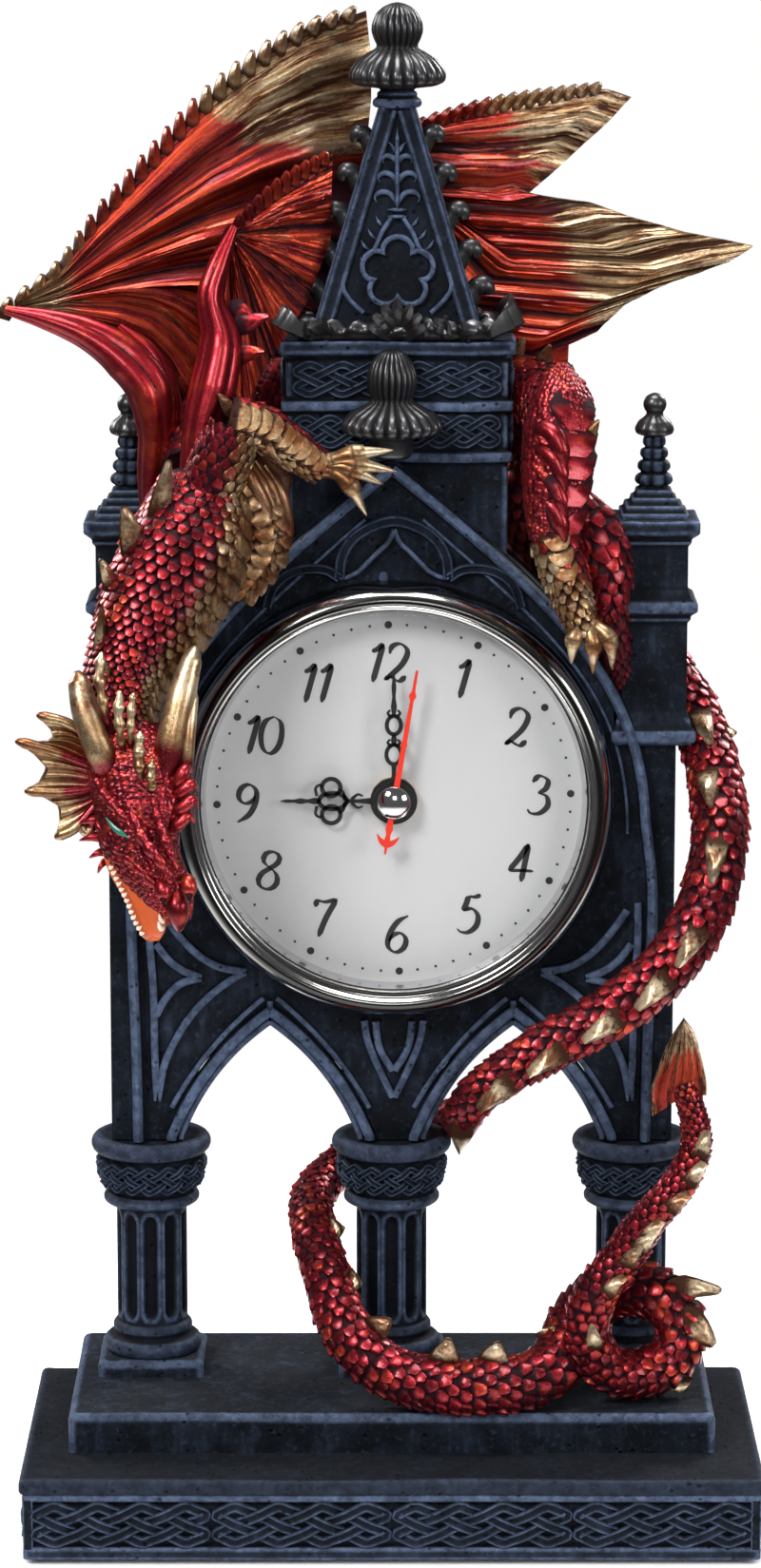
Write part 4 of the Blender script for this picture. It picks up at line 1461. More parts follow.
def carve_body():
    """The body behind the clock and the neck, with golden plates down the neck's right side."""
    skin = Skin()
    path, radius = curve(BODY, 120), evenly(BODY_RADII, 120)
    scaled(skin, path, radius, 18, seed=4, lift_by=0.2)
    top = np.arange(6, 114, 9)
    fins(skin, path[top] + [0, 0, 6], ways(path)[top] * 0.5 + [0, 0, 0.86], (0, 1, 0), 6.5, 1.9,
         0.9, pointed=0.9, gold=0.9, wear=1.0)
    along_curve(scaled, skin, [(29.4, 29, 224), (29.4, 29.2, 208), (29.2, 29.2, 197), (33.5, 28.8, 188),
                               (41.5, 28.8, 183.5), (46.6, 28.8, 181)], [6.2, 6.9, 7.0, 6.0, 5.0, 4.8], 110,
                14, seed=6, lift_by=0.3)
    along_curve(scaled, skin, [(25.6, 27.2, 201), (26.6, 27.4, 193), (30.4, 27.6, 186), (37, 27.6, 181.4),
                               (44, 27.4, 178)], [4.6, 5.0, 4.8, 4.4, 3.8], 80, 12, seed=8, lift_by=0.3,
                shade=0.55)
    make(skin, "scaled_body", "dragon_red", "dragon_body", "dragon_red", crease=55)
    skin = Skin()
    path, radius = curve(NECK, 100), evenly(NECK_RADII, 100)
    facing = unit(points((0.93, -0.36, -0.1)))
    scaled(skin, path, radius * 0.97, 27, seed=9, lift_by=0.38, stretch=1.6, pointed=0.0,
           gold=lambda root, normal: 0.75 * ease((normal @ facing - 0.62) / 0.3),
           shade=lambda root, normal: 0.55 * ease((normal @ facing - 0.5) / 0.3)
           * ease((200 - root[:, 2]) / 8))
    belly(skin, path, radius, facing, 0.42, 3.4, 0.6, shade=0.4)
    breast = curve([(-31.5, -3.5, 209), (-27.6, -2.2, 202), (-26.2, -0.2, 194.5), (-30.5, 0.5, 185)], 60)
    full = evenly([4.6, 6.2, 6.4, 4.4], 60)
    scaled(skin, breast, full, 18, seed=10, lift_by=0.36, gold=lambda root, normal: 0.5 + 0.15 * normal[:, 0],
           shade=lambda root, normal: 0.25 + 0.3 * ease((200 - root[:, 2]) / 8))
    for turn in (-0.5, 0.25, 1.0):
        belly(skin, breast, full, (math.sin(turn), -math.cos(turn), 0), 0.42, 2.7, 0.55, 0.3, shade=0.2)
    for k in range(4):
        x = -25.4 + 1.7 * k
        along_curve(tube, skin, [(x - 4, -6.2 + 1.2 * k, 212 - k), (x - 1.0, -7.6 + 1.4 * k, 206.5 - k),
                                 (x + 1.6 - 0.5 * k, -6.6 + 1.5 * k, 200.5 - 1.6 * k),
                                 (x + 1.4 - k, -5 + 1.4 * k, 196 - 2 * k)], [0.8, 1.5, 1.5, 0.4], 24, 12,
                    1.0, (0, -1, 0), gold=0.5, tint=0.1 + 0.1 * k, wear=0.5, deep=0.25)
    along_curve(tube, skin, [(-29, -2, 214), (-24.6, -1.4, 211.6), (-21.6, -0.2, 207.6), (-20.8, 1.4, 202)],
                [1.6, 2.6, 2.6, 1.0], 24, 12, 1.0, (0, -1, 0), gold=0.45, tint=0.1, wear=0.3, deep=0.5)
    root = points([(-44.6, -14, 198.5), (-47.6, -14.6, 191.5), (-52.2, -15, 186), (-55.2, -17.4, 171),
                   (-54.2, -20.4, 166.5)])
    tip = points([(-41.8, -16.5, 212), (-50.4, -18, 203.4), (-54.8, -18.4, 193.4), (-54.5, -21, 185),
                  (-53.4, -23, 174.4)])
    way = unit(tip - root)
    fins(skin, root, way, perpendicular((0.25, -0.97, 0), way), np.linalg.norm(tip - root, axis=1),
         np.array([2.4, 3.1, 1.9, 1.8, 1.4]), 1.4, pointed=0.75, keel=0.8, gold=1.0, tint=0.85, wear=1.0)
    make(skin, "scaled_neck", "dragon_red", "dragon_neck", "dragon_red", crease=55)


WING_THICK = 2.0


def wing_sheet(skin, wrist, lead, arm, far, depth, folds, seed, gold, deepness=1.4, shade=None):
    """A wing's skin as a fan of rays from the wrist to the far edge, between the leading edge and the
    arm.

    The fan is a Coons patch whose fourth side is the wrist. Its front is folded between the rays, and
    depth(x, z) gives the y of its middle.
    """
    rows, columns = 220, 46
    v, u = np.linspace(0, 1, rows), np.linspace(0.02, 1, columns)
    close = lambda line: along(points([wrist, *line]), u)
    lead_line, arm_line, edge = close(lead), close(arm), along(points([lead[-1], *far, arm[-1]]), v)
    v3, u3 = v[:, None, None], u[None, :, None]
    flat = (1 - v3) * lead_line[None] + v3 * arm_line[None]
    flat = flat + (edge[:, None] - (1 - v3) * points(lead[-1]) - v3 * points(arm[-1])) * u3
    rng = np.random.default_rng(seed)
    fold = np.interp(v, np.linspace(0, 1, 2 * folds + 1), np.tile([0, 1], folds + 1)[:2 * folds + 1])
    fine = np.convolve(rng.normal(size=rows + 8), np.ones(3) / 3, "same")[4:-4]
    finer = np.convolve(rng.normal(size=rows + 8), [0.25, 0.5, 0.25], "same")[4:-4]
    v2, u2 = v[:, None], u[None]
    ridge = ease(fold)[:, None] * np.ones_like(u2)
    streak = fine[:, None] * u2 + 0.6 * finer[:, None] * np.sin(u2 * 9 + fine[:, None] * 3)
    rise = deepness * (ridge - 0.5) * np.minimum(1, u2 * 2.2) + 0.35 * streak
    y = depth(flat[..., 0], flat[..., 1])
    front = np.stack([flat[..., 0], y - WING_THICK / 2 - rise, flat[..., 1]], -1)
    back = np.stack([flat[..., 0], y + WING_THICK / 2 - rise * 0.6, flat[..., 1]], -1)
    dark = np.clip((1 - ridge) ** 2 * 0.75 - fine[:, None] * 0.35, 0, 1)
    if shade:
        dark = np.clip(dark + shade(flat[..., 0], flat[..., 1]), 0, 1)
    golden = gold(flat[..., 0], flat[..., 1]) + 0.25 * fine[:, None]
    skin.sheet(both(front, back), wear=both(np.clip(ridge * 0.8 + 0.2 * finer[:, None], 0, 1)),
               deep=both(dark), gold=both(np.clip(golden, 0, 1)), ray=both(v2 + 0 * u2),
               run=both(u2 + 0 * v2), tint=both(np.clip(0.5 + 0.5 * fine[:, None] + 0 * u2, 0, 1)))


def blades(skin, line, depth, count, length, gold, start=0.0):
    """Slanted blades that overlap along a wing's leading edge, given as (x, z)."""
    flat = curve(line, count + 1, start)
    way = ways(flat)[:count]
    flat = flat[:count]
    across = np.stack([-way[:, 1], way[:, 0]], -1)
    forward = unit(way * 0.75 + across * 0.6625)
    share = np.linspace(0, 1, count)
    root = np.stack([flat[:, 0], depth(flat[:, 0], flat[:, 1]), flat[:, 1]], -1)
    forward = np.stack([forward[:, 0], np.zeros(count), forward[:, 1]], -1)
    size = length * (0.75 + 0.5 * np.sin(share * math.pi))
    fins(skin, root - forward * (size * 0.55)[:, None], forward, (0, -1, 0), size * 1.15, 1.5, 1.9,
         pointed=0.35, keel=0.9, gold=gold(flat[:, 0], flat[:, 1]), tint=share, wear=1.0)


LEFT_LEAD = [(-63.4, 245), (-55.6, 254.5), (-45.4, 265.6), (-37.2, 274.4), (-27.6, 282.6), (-16.8, 289.2),
             (-5, 293)]
LEFT_ARM = [(-63, 236), (-54, 231), (-49.2, 226), (-47, 220), (-45.4, 199)]
LEFT_FAR = [(-4, 284), (-4, 276), (-5, 266), (-6.4, 256), (-9, 246), (-11, 234.5), (-20, 233), (-28, 232.6),
            (-30, 228), (-33, 218), (-37, 198)]
FOLD_LEAD = [(-20.2, 261), (-11.4, 266.4)]
FOLD_FAR = [(-11.8, 250), (-16.6, 238), (-24.4, 226), (-29, 218), (-35, 208)]
RIGHT_LEAD = [(7.9, 271.4), (18, 274), (30, 276.2), (41.6, 278.2), (46.4, 276.6)]
RIGHT_FAR = [(42, 272), (35.6, 266), (26.4, 257.8), (38.6, 256.2), (46.6, 253.4), (56.6, 250.6),
             (70.4, 247.8), (65.6, 244.6), (54.6, 240.8), (45.4, 236.4), (40.2, 231), (34.6, 228.6)]


def wing_arm(skin, rows, radii, turn):
    """An arm of a wing: a tube drawn into four long ridges with dark clefts, and finely wrinkled across."""
    count, sides = 110, 48
    angle, row = np.linspace(0, TAU, sides, endpoint=False)[None], np.arange(count)[:, None]
    ridge = np.abs(np.sin(angle * 2 + turn + row * 0.012 + 0.4 * np.sin(row * 0.07)))
    tube(skin, curve(rows, count), evenly(radii, count), sides, 1.0, (0, 1, 0), tint=0.7, ray=0.5, run=0.1,
         shape=lambda *_: 0.22 * evenly(radii, count)[:, None] * (ridge - 0.6),
         deep=np.clip((0.32 - ridge) * 2.6, 0, 1), wear=0.7 * ridge**3)


def carve_wings():
    """The spread left wing, the folded start of the right one, and the rest of it behind the spire."""
    skin = Skin()
    depth = lambda x, z: (-2 + 0.33 * (x + 73.2) + 0.1 * (z - 204)
                          + 0.3 * np.maximum(0, x + 30) * (1 - (z - 238) / 80))
    gold = lambda x, z: np.maximum(ease((-56 - x) / 12) * ease((z - 230) / 8),
                                   ease((x + z - 232) / 18) * ease((z - 262) / 10))
    shade = lambda x, z: 0.75 * ease((x + 27) / 12) * ease((266 - z) / 14)
    wing_sheet(skin, (-73.2, 238.4), LEFT_LEAD, LEFT_ARM, LEFT_FAR, depth, 7, 11, gold=gold, deepness=2.0,
               shade=shade)
    blades(skin, [(-73.2, 238.4), *LEFT_LEAD], depth, 25, 5.2, lambda x, z: 0.35 + 0.65 * gold(x, z))
    make(skin, "ribbed_wing_left", "dragon_wing", "wing_left", "dragon_red", crease=50)
    skin = Skin()
    wing_arm(skin, [(-45.4, 4, 197), (-45.6, 1.8, 207), (-45.2, 1.2, 216), (-46.6, 1.2, 223.5),
                    (-51.4, 1.2, 229.4), (-58, 0.6, 233.8), (-66, -0.4, 236.7), (-73.4, -1, 238.5)],
             [2.8, 3.0, 3.1, 4.2, 4.2, 3.0, 1.9, 0.8], 0.4)
    wing_arm(skin, [(-42.6, 3.4, 204), (-42.4, 2.4, 213), (-42.6, 2.2, 222), (-46, 2.8, 230),
                    (-52, 3.4, 235)], [1.6, 1.9, 2.0, 1.5, 0.7], 1.2)
    along_curve(tube, skin, [(-43, 4.5, 192), (-42.4, 3.4, 199), (-42.2, 3.6, 206)], [5.2, 4.4, 2.2], 30,
                24, tint=0.4, wear=0.4)
    make(skin, "left_wing_arms", "dragon_red", None, "dragon_red", crease=50)
    skin = Skin()
    depth = lambda x, z: -1 + 0.7 * (x + 38)
    gold = lambda x, z: ease((z - 247) / 8) * ease((-26 - x) / 6) * 0.9
    wing_sheet(skin, (-30.8, 252.4), FOLD_LEAD, [(-33.6, 236), (-37, 218), (-38, 212)], FOLD_FAR, depth, 5,
               12, gold=gold)
    blades(skin, [(-30.8, 252.4), *FOLD_LEAD], depth, 11, 4.4, lambda x, z: 0.1 + 0 * x)
    make(skin, "ribbed_wing_fold", "dragon_wing", "wing_right_fold", "dragon_red", crease=50)
    skin = Skin()
    wing_arm(skin, [(-39.2, -3.8, 193), (-38, -5.8, 201), (-37.4, -6.2, 209), (-36.2, -5.4, 217),
                    (-33.8, -3.6, 225), (-32.6, -2, 233), (-34.4, -1.6, 241), (-32.8, -0.2, 247),
                    (-29.9, 1.6, 254)], [4.2, 3.4, 2.7, 3.2, 4.2, 3.8, 2.5, 2.0, 0.8], 1.2)
    fins(skin, points([(-30.6, -2, 230), (-30.4, -1, 235), (-31, 0, 239)]),
         unit(points([(0.75, 0, 0.1), (0.8, 0, 0.28), (0.6, 0, -0.2)])), (0.2, -1, 0), [6.5, 7.6, 5], 2.2,
         1.5, pointed=0.8, keel=0.6, tint=0.8, wear=1.0)
    make(skin, "right_wing_arm", "dragon_red", None, "dragon_red", crease=50)
    skin = Skin()
    depth = lambda x, z: 29.0 + 0 * x
    gold = lambda x, z: ease((x + 0.4 * (z - 246) - 26) / 18)
    wing_sheet(skin, (-1.6, 262), RIGHT_LEAD, [(-1.6, 240), (-1.6, 222), (20, 216), (34.4, 222)], RIGHT_FAR,
               depth, 9, 13, gold=gold, deepness=1.5, shade=lambda x, z: 0.6 * ease((16 - x) / 10))
    blades(skin, [(-1.6, 268), *RIGHT_LEAD[:-1]], depth, 17, 4.6, lambda x, z: 0.3 + ease((x - 14) / 16),
           start=0.05)
    make(skin, "ribbed_wing_right", "dragon_wing", "wing_right", "dragon_gold", crease=50)


def toe(skin, rows, radius):
    """A knuckled toe along rows of points whose last third is a pale claw."""
    path = curve(rows, 22)
    share = np.linspace(0, 1, 22)
    radii = radius * (1.0 + 0.22 * np.cos(share * 12)) * (1 - 0.45 * share)
    ring = 0.7 * (np.cos(share * 26) > 0.6)
    last = 14
    tube(skin, path[:last], radii[:last], 12, gold=1.0, tint=0.5, wear=0.7, deep=ring[:last, None])
    thorn(skin, path[last - 3:], radii[last] * 1.05, gold=1.0, tint=1.0, wear=1.0)


def carve_legs():
    """The foreleg that holds the gable, and the hind leg, with plated shins and clawed feet."""
    skin = Skin()
    haunch = curve([(32.8, 9.4, 227), (32.7, 8, 224.4), (32.3, 5.2, 219), (32, 3, 212), (31.6, 1.2, 203.5),
                    (31.2, 0.9, 194)], 60)
    radii = evenly([1.0, 5.2, 6.6, 7.0, 6.4, 5.6, 4.4], 60)
    pebbled(skin, [(32.8, 9.4, 227), (32.5, 7, 222.6), (32.2, 4.6, 217), (31.8, 3, 211), (31.4, 1.2, 203.5),
                   (31.0, 0.9, 194)], [1.0, 5.6, 6.8, 6.8, 6.0, 4.6], 30, 0.75, fine=(170, 200), seed=21,
            tint=0.1)
    belly(skin, haunch[16:], radii[16:] * 0.97, (0.42, -0.9, 0), 0.85, 4.6, 0.0, 0.17)
    for z in (215.4, 211, 205.8, 201.4):
        along_curve(tube, skin, [(27.2, 0.4, z - 1), (28.4, -1.8, z + 0.6), (30.4, -3.4, z),
                                 (32.2, -4.6, z - 3.2), (33, -5, z - 6.8)], [0.5, 1.6, 1.9, 1.6, 0.4], 30,
                    16, 1.0, (0, -1, 0), tint=0.5, wear=0.6)
    shin = curve([(31, 0.6, 195), (33.2, -0.4, 187.6), (35.2, -1.6, 181), (37.0, -1.6, 176.4)], 40)
    radii = evenly([4.5, 4.1, 3.3, 2.5], 40)
    scaled(skin, shin, radii, 10, seed=22, lift_by=0.42,
           gold=lambda root, normal: ease((194 - root[:, 2] - 4 * normal[:, 0]) / 6),
           shade=lambda root, normal: 0.5 * (np.sin(root[:, 2] * 7.1 + root[:, 0] * 5) > 0.1))
    belly(skin, shin[:19], radii[:19], (0.1, -1, 0), 0.75, 2.9, 0.9, 0.3)
    outer = curve([(33.4, 7, 200), (38.8, 5.6, 195), (41.6, 5.2, 187), (41.4, 5.4, 178)], 40)
    scaled(skin, outer, evenly([4.4, 5.0, 4.4, 2.2], 40), 9, seed=23, lift_by=0.34)
    along_curve(scaled, skin, [(41.6, 8.4, 182), (43, 9.4, 174), (44.2, 10.4, 167), (45.2, 11.4, 161.4)],
                [3.6, 3.2, 2.4, 0.8], 40, 9, seed=26, lift_by=0.34, shade=0.6)
    for tip in ((34.4, -2.4, 170.6), (38.6, -2.6, 168.6), (42.4, -1.6, 169.2)):
        knuckle = (tip[0] - (tip[0] - 37) * 0.2, -3.8, 176)
        toe(skin, [(36.6, -1.6, 179.4), knuckle, tip], 1.9)
    fins(skin, points([(36.6, 0, 212.6)]), unit(points([(0.5, 0, 0.86)])), (0, -1, 0), 5.6, 1.6, 1.0,
         pointed=0.9, gold=0.8, wear=1.0)
    make(skin, "plated_hind_leg", "dragon_red", "dragon_hind_leg", "dragon_red", crease=55)
    skin = Skin()
    upper = curve([(-36.5, -7.6, 200), (-33, -8.8, 209), (-30, -8.8, 216.6)], 40)
    radii = evenly([5.4, 5.8, 4.8], 40)
    scaled(skin, upper, radii, 14, seed=24, lift_by=0.22, gold=lambda root, normal: 0.15
           + 0.5 * ease((normal[:, 0]) / 0.6))
    lower = curve([(-30.6, -8.2, 218.4), (-24.6, -7.0, 216.6), (-18.4, -5.6, 212.2), (-13.4, -4.6, 208.6)],
                  40)
    radii = evenly([4.4, 4.2, 3.6, 3.0], 40)
    scaled(skin, lower, radii, 11, seed=25, lift_by=0.25, gold=lambda root, normal: 0.5 - 0.35 * normal[:, 2])
    belly(skin, lower, radii, (0.1, -0.9, 0.35), 0.8, 2.2, 0.6, 0.26, shade=0.15)
    for tip in ((0.2, -4.6, 212.2), (0.8, -5.2, 208.2), (-1.6, -4.6, 205.6), (-4.8, -4.2, 199.6)):
        knuckle = (-8.6 + 0.1 * tip[0], -6.6, 209.6 + (tip[2] - 207) * 0.35)
        toe(skin, [(-14.0, -4.8, 209.2), knuckle, tip], 2.0)
    fins(skin, points([(-29.6, -7.6, 219)]), unit(points([(-0.6, 0, 0.8)])), (0, -1, 0), 5.6, 1.6, 1.1,
         pointed=0.9, gold=0.5, wear=1.0)
    make(skin, "plated_foreleg", "dragon_red", "dragon_foreleg", "dragon_gold", crease=55)


FRILL_ROOT = points([(-54.2, -21.5, 157.5), (-54.8, -21.8, 153.8), (-55.4, -22, 150.2), (-55.6, -22, 147.4),
                     (-55.4, -21.8, 145.2)])
FRILL_TIPS = points([(-66.9, -23.4, 164.6), (-71.0, -23.4, 159.6), (-69.4, -23.2, 149.9), (-63.8, -23, 140.8),
                     (-59.2, -22.4, 143.6)])
HORNS = (([(-52.6, -24, 152.4), (-54.8, -27.6, 158.4), (-57.4, -26.4, 165.4), (-59.2, -23, 172.8)],
          2.8, 2.7, 1.9),
         ([(-43.2, -25, 151.8), (-42.0, -25.8, 157.6), (-40.4, -24.4, 165.4), (-37.0, -20.4, 177.2)],
          2.8, 2.7, 1.7),
         ([(-39.3, -25, 151.6), (-38.8, -25.6, 156.6), (-38.2, -24.6, 163), (-37.3, -22, 169.4)],
          1.5, 1.4, 1.0),
         ([(-50.2, -26.6, 157), (-50.8, -29.2, 161.6), (-51.2, -29.2, 166), (-50.9, -28, 170)],
          0.8, 1.0, 0.8),
         ([(-48.8, -27, 158), (-49.0, -29, 162), (-48.8, -28.8, 166), (-48.4, -27.6, 169.6)],
          0.7, 0.8, 0.7),
         ([(-47.0, -28, 152), (-47.2, -30.4, 155.4), (-47.4, -30.2, 159), (-47.2, -29.2, 162.6)],
          1.0, 1.1, 0.8),
         ([(-44.8, -29.4, 150), (-45.0, -31, 152.8), (-45.1, -31, 155.4), (-44.9, -30, 157.4)],
          0.9, 1.0, 0.7),
         ([(-53.0, -26, 162), (-54.0, -28.4, 167.4), (-54.8, -27.4, 172.4), (-54.4, -25.6, 177)],
          0.8, 1.0, 0.8))
CURLS = (([(-41.4, -27, 151), (-39.8, -28.6, 153.4), (-38.6, -28, 155.2), (-37.9, -27, 154.2)], 1.3),
         ([(-41.2, -28, 149), (-39.2, -29.4, 151.2), (-37.6, -29, 152.4), (-36.9, -28, 150.8)], 1.2),
         ([(-41.6, -29, 146.2), (-39.2, -30.2, 148.2), (-37.4, -29.8, 149.6), (-36.6, -29, 148)], 1.2),
         ([(-42.0, -29.6, 143.4), (-39.8, -30.6, 145.2), (-38.2, -30, 146.6), (-37.2, -29.4, 145.2)], 1.1))


def carve_head():
    """The head: skull, brows, snout, horns, crest, frill and thorns, and then the eye, the jaw and the
    teeth."""
    skin = Skin()
    up = (0, -1, 0.2)
    socket = lambda angle, share: (0.9 * np.exp(-((share - 0.5) / 0.12)**2 - ((angle - 2.25) / 0.35)**2)
                                   - 1.3 * np.exp(-((share - 0.56) / 0.07)**2 - ((angle - 2.5) / 0.3)**2)
                                   + 0.9 * np.exp(-((share - 0.62) / 0.2)**2 - ((angle - 1.45) / 0.3)**2))
    pebbled(skin, [(-51.6, -18.5, 162), (-49.0, -21.6, 155), (-47.4, -24, 148), (-47.6, -25.6, 142),
                   (-45.8, -27.4, 137), (-42.8, -29.4, 132.8), (-40.9, -30.8, 129.6),
                   (-40.1, -31.4, 126.4)], [5.4, 7.2, 7.7, 7.5, 6.4, 5.0, 3.8, 1.8], 40, 0.62, up, 1.17,
            (220, 260), 31, socket)
    for rows, r in (([(-56.6, -23.6, 155.2), (-54.8, -28.0, 151.6), (-52.2, -30.4, 148.6),
                      (-49.6, -31.8, 145.8), (-46.8, -32.6, 142.4)], [0.5, 1.2, 1.1, 0.8, 0.4]),
                    ([(-50.6, -29.2, 152.6), (-48.8, -31.8, 147.6), (-46.6, -33.4, 142.8),
                      (-43.8, -34.6, 139.4), (-41.4, -35, 136)], [0.4, 0.8, 1.2, 1.2, 0.5]),
                    ([(-45.0, -29.6, 152.8), (-44.2, -31.8, 147.6), (-42.4, -33.4, 142.4),
                      (-40.4, -34, 137.4)], [0.4, 0.9, 1.1, 0.5]),
                    ([(-56.0, -26.4, 145.2), (-53.4, -29.0, 141.6), (-50.2, -31.2, 139.4),
                      (-46.6, -33, 136.4), (-43.4, -33.6, 132)], [0.4, 0.9, 0.9, 0.8, 0.4])):
        line = curve(rows, 50)
        tube(skin, line, evenly(r, 50), 12, 1.0, tint=0.6, wear=1.0,
             shape=lambda angle, row: 0.5 * np.abs(np.sin(row * 0.42 + 0.3 * np.sin(row))) - 0.3)
    for x, y, z in ((-42.9, -33.6, 132.4), (-38.0, -33.4, 133.2)):
        along_curve(tube, skin, [(x - 0.6, y + 1.4, z + 2.6), (x, y - 0.6, z + 0.8),
                                 (x + 0.2, y - 0.4, z - 1.6)], [0.4, 1.5, 1.5, 0.5], 14, 12, tint=0.9,
                    wear=0.9)
        thorn(skin, [(x, y - 1.4, z - 0.6), (x + 0.1, y - 2.1, z - 1.2), (x + 0.1, y - 2, z - 1.9)], 0.6,
              deep=1.0)
    along_curve(tube, skin, [(-40.6, -31.8, 132), (-40.2, -33.2, 129), (-40.0, -32.6, 126),
                             (-40.1, -31.8, 124.9)], [1.8, 2.3, 1.7, 0.5], 20, 16, tint=0.35, wear=0.5)
    bumps = curve([(-52.6, -28.4, 137.2), (-49.2, -30.8, 136.4), (-46.2, -32.4, 134.4), (-43.8, -33, 131.4),
                   (-42.2, -32.8, 128)], 13)
    for p in bumps:
        tube(skin, curve([p + points([0, 0.6, 0.7]), p, p + points([0, 0.6, -0.7])], 7),
             evenly([0.2, 0.75, 0.2], 7), 10, tint=0.9, wear=0.9)
    thorns = (((-54.4, -24, 144.6), (-58.9, -24.6, 144.0), 1.2),
              ((-54.6, -24.4, 141.4), (-59.1, -25, 140.7), 1.2),
              ((-54.4, -24.8, 138.6), (-57.2, -25.4, 137.4), 0.9),
              ((-54.4, -25, 136.6), (-55.6, -26, 134.6), 0.7))
    for root, tip, r in thorns:
        thorn(skin, [root, (points(root) + tip) / 2 + [0, -0.8, 0.4], tip], r, tint=0.8, wear=0.8)
    for rows, r in CURLS:
        along_curve(tube, skin, rows, [0.4, r, r, 0.3], 24, 14, 1.0, (0, -1, 0), tint=1.0, wear=1.0, ray=0.5)
    for rows, low, middle, high in HORNS:
        share = np.linspace(0, 1, 60)
        radii = evenly([low, low, middle, high], 60) * np.minimum(1, (1.01 - share) * 9)**0.5
        knobs = np.sin(share * 26 + rows[0][0])[:, None] * (low < 1.3)
        around = np.linspace(0, TAU, 24, endpoint=False)[None]
        streak = np.abs(np.sin(around * 1.5 + 1 + 0.5 * np.sin(share * 5)[:, None]))
        tube(skin, curve(rows, 60), radii * (1 + 0.2 * knobs[:, 0]), 24, 1.0, (0, -1, 0),
             wear=0.5 + 0.5 * streak, tint=(0.3 + 0.62 * ease((share - 0.3) / 0.45))[:, None],
             deep=np.clip(0.7 * (1 - streak)**2 * (1 - 0.8 * share)[:, None] - 0.35 * knobs, 0, 1)
             * (share < 0.9)[:, None],
             gold=ease((share - 0.12) / 0.35)[:, None])
    for k, (a, b, c, d) in enumerate(zip(FRILL_ROOT[:-1], FRILL_ROOT[1:], FRILL_TIPS[:-1], FRILL_TIPS[1:])):
        u, v = np.linspace(0, 1, 26)[:, None, None], np.linspace(0, 1, 24)[None, :, None]
        sag = 0.34 * np.sin(v * math.pi)**0.8
        foot, tip = a + (b - a) * v, c + (d - c) * v
        bow = np.sin(u * math.pi) * np.array([-0.4, 0, 1.6 - k * 1.1])
        plane = foot + (tip - foot) * u * (1 - sag) + bow
        pleat = (np.abs(np.sin(v * math.pi * 4)) * 0.55 - 1.3 * np.sin(v * math.pi)) * np.minimum(u * 2.4, 1)
        front = plane - pleat * np.array([0, 1, 0]) - np.array([0, 0.5, 0])
        back = front + np.array([0, 0.9, 0])
        fold = np.broadcast_to(np.abs(np.sin(v * math.pi * 4))[..., 0], (26, 24))
        spread = np.broadcast_to(u[..., 0], (26, 24))
        skin.sheet(both(front, back), deep=both((1 - fold)**2 * 0.9), wear=both(fold),
                   gold=both(np.clip(0.05 + 0.62 * spread + 0.2 * fold - 0.3 * (k == 3), 0, 1)), tint=0.4)
    for k, (a, c) in enumerate(zip(FRILL_ROOT, FRILL_TIPS)):
        share = np.linspace(0, 1, 30)
        bend = np.array([-0.4, -0.6, 1.8 - k * 1.1])
        line = curve([a, a + (c - a) * 0.5 + bend, a + (c - a) * 0.85 + bend * 0.3, c], 30)
        tube(skin, line, evenly([0.9, 1.0, 1.0, 1.15], 30) * np.minimum(1, (1.01 - share) * 8)**0.5, 12,
             1.0, (0, -1, 0), tint=0.4, wear=1.0, gold=ease((share - 0.3) / 0.4)[:, None])
    make(skin, "carved_head", "dragon_red", "dragon_head", "dragon_red", crease=70)
    skin = Skin()
    along_curve(tube, skin, [(-53.8, -30.4, 146.3), (-51.9, -31.7, 144.4), (-49.2, -32.9, 142.8)],
                [0.1, 0.45, 0.6, 0.1], 16, 12, 0.75)
    make(skin, "dragon_eye", "eye", None, "dragon_red")
    skin = Skin()
    rows = np.linspace(0, 1, 40)[:, None]
    left = curve([(-54.6, -27, 138.6), (-53.4, -27.6, 135.2), (-50.8, -28.4, 130.6), (-48.8, -29, 126.4),
                  (-47.2, -29.6, 123.2), (-45.9, -29.8, 122.2)], 40)
    right = curve([(-47.6, -29, 138.6), (-46.6, -29.6, 134.6), (-44.6, -30.6, 131.4), (-42.8, -31.2, 128.8),
                   (-42.7, -31, 124.8), (-43.9, -30.4, 122.6)], 40)
    across = np.linspace(0, TAU, 48, endpoint=False)[None]
    centre, half = (left + right)[:, None] / 2, (right - left)[:, None] / 2
    trough = -1.1 * np.exp(-(np.cos(across) / 0.6)**2) * (np.sin(across) > 0) * np.sin(rows * math.pi)**0.4
    thick = (2.4 - 1.1 * rows) * np.sin(np.clip(rows * 1.02 + 0.03, 0, 1) * math.pi)**0.3
    front = (thick * np.sin(across) + trough)[..., None] * np.array([0, 1, 0])
    grid = centre + half * np.cos(across)[..., None] - front
    skin.sheet(grid, wear=np.clip(np.abs(np.cos(across)), 0, 1) + 0 * rows,
               deep=0.35 * (1 - rows)**2 + 0 * across)
    make(skin, "lower_jaw", "dragon_jaw", "dragon_jaw", "dragon_gold")
    skin = Skin()
    low = curve([(-53.0, -30.2, 136.6), (-51.4, -30.9, 133.4), (-49.8, -31.4, 130.0), (-48.6, -31.6, 126.8),
                 (-47.2, -31.6, 124.2)], 13)
    for i, p in enumerate(low):
        thorn(skin, [p, p + points([0.2, -0.4, 0.1]), p + points([0.6, -0.8, 0.4 + 0.25 * (i % 2)])], 0.36)
    for x, z in ((-43.2, 126.6), (-43.4, 125.2)):
        thorn(skin, [(x, -31.6, z), (x - 0.3, -32.2, z + 0.5), (x - 0.6, -32.6, z + 1.6)], 0.6)
    make(skin, "dragon_teeth", "tooth", None, "dragon_gold")


# ------------------------------------------------------------------ add-on

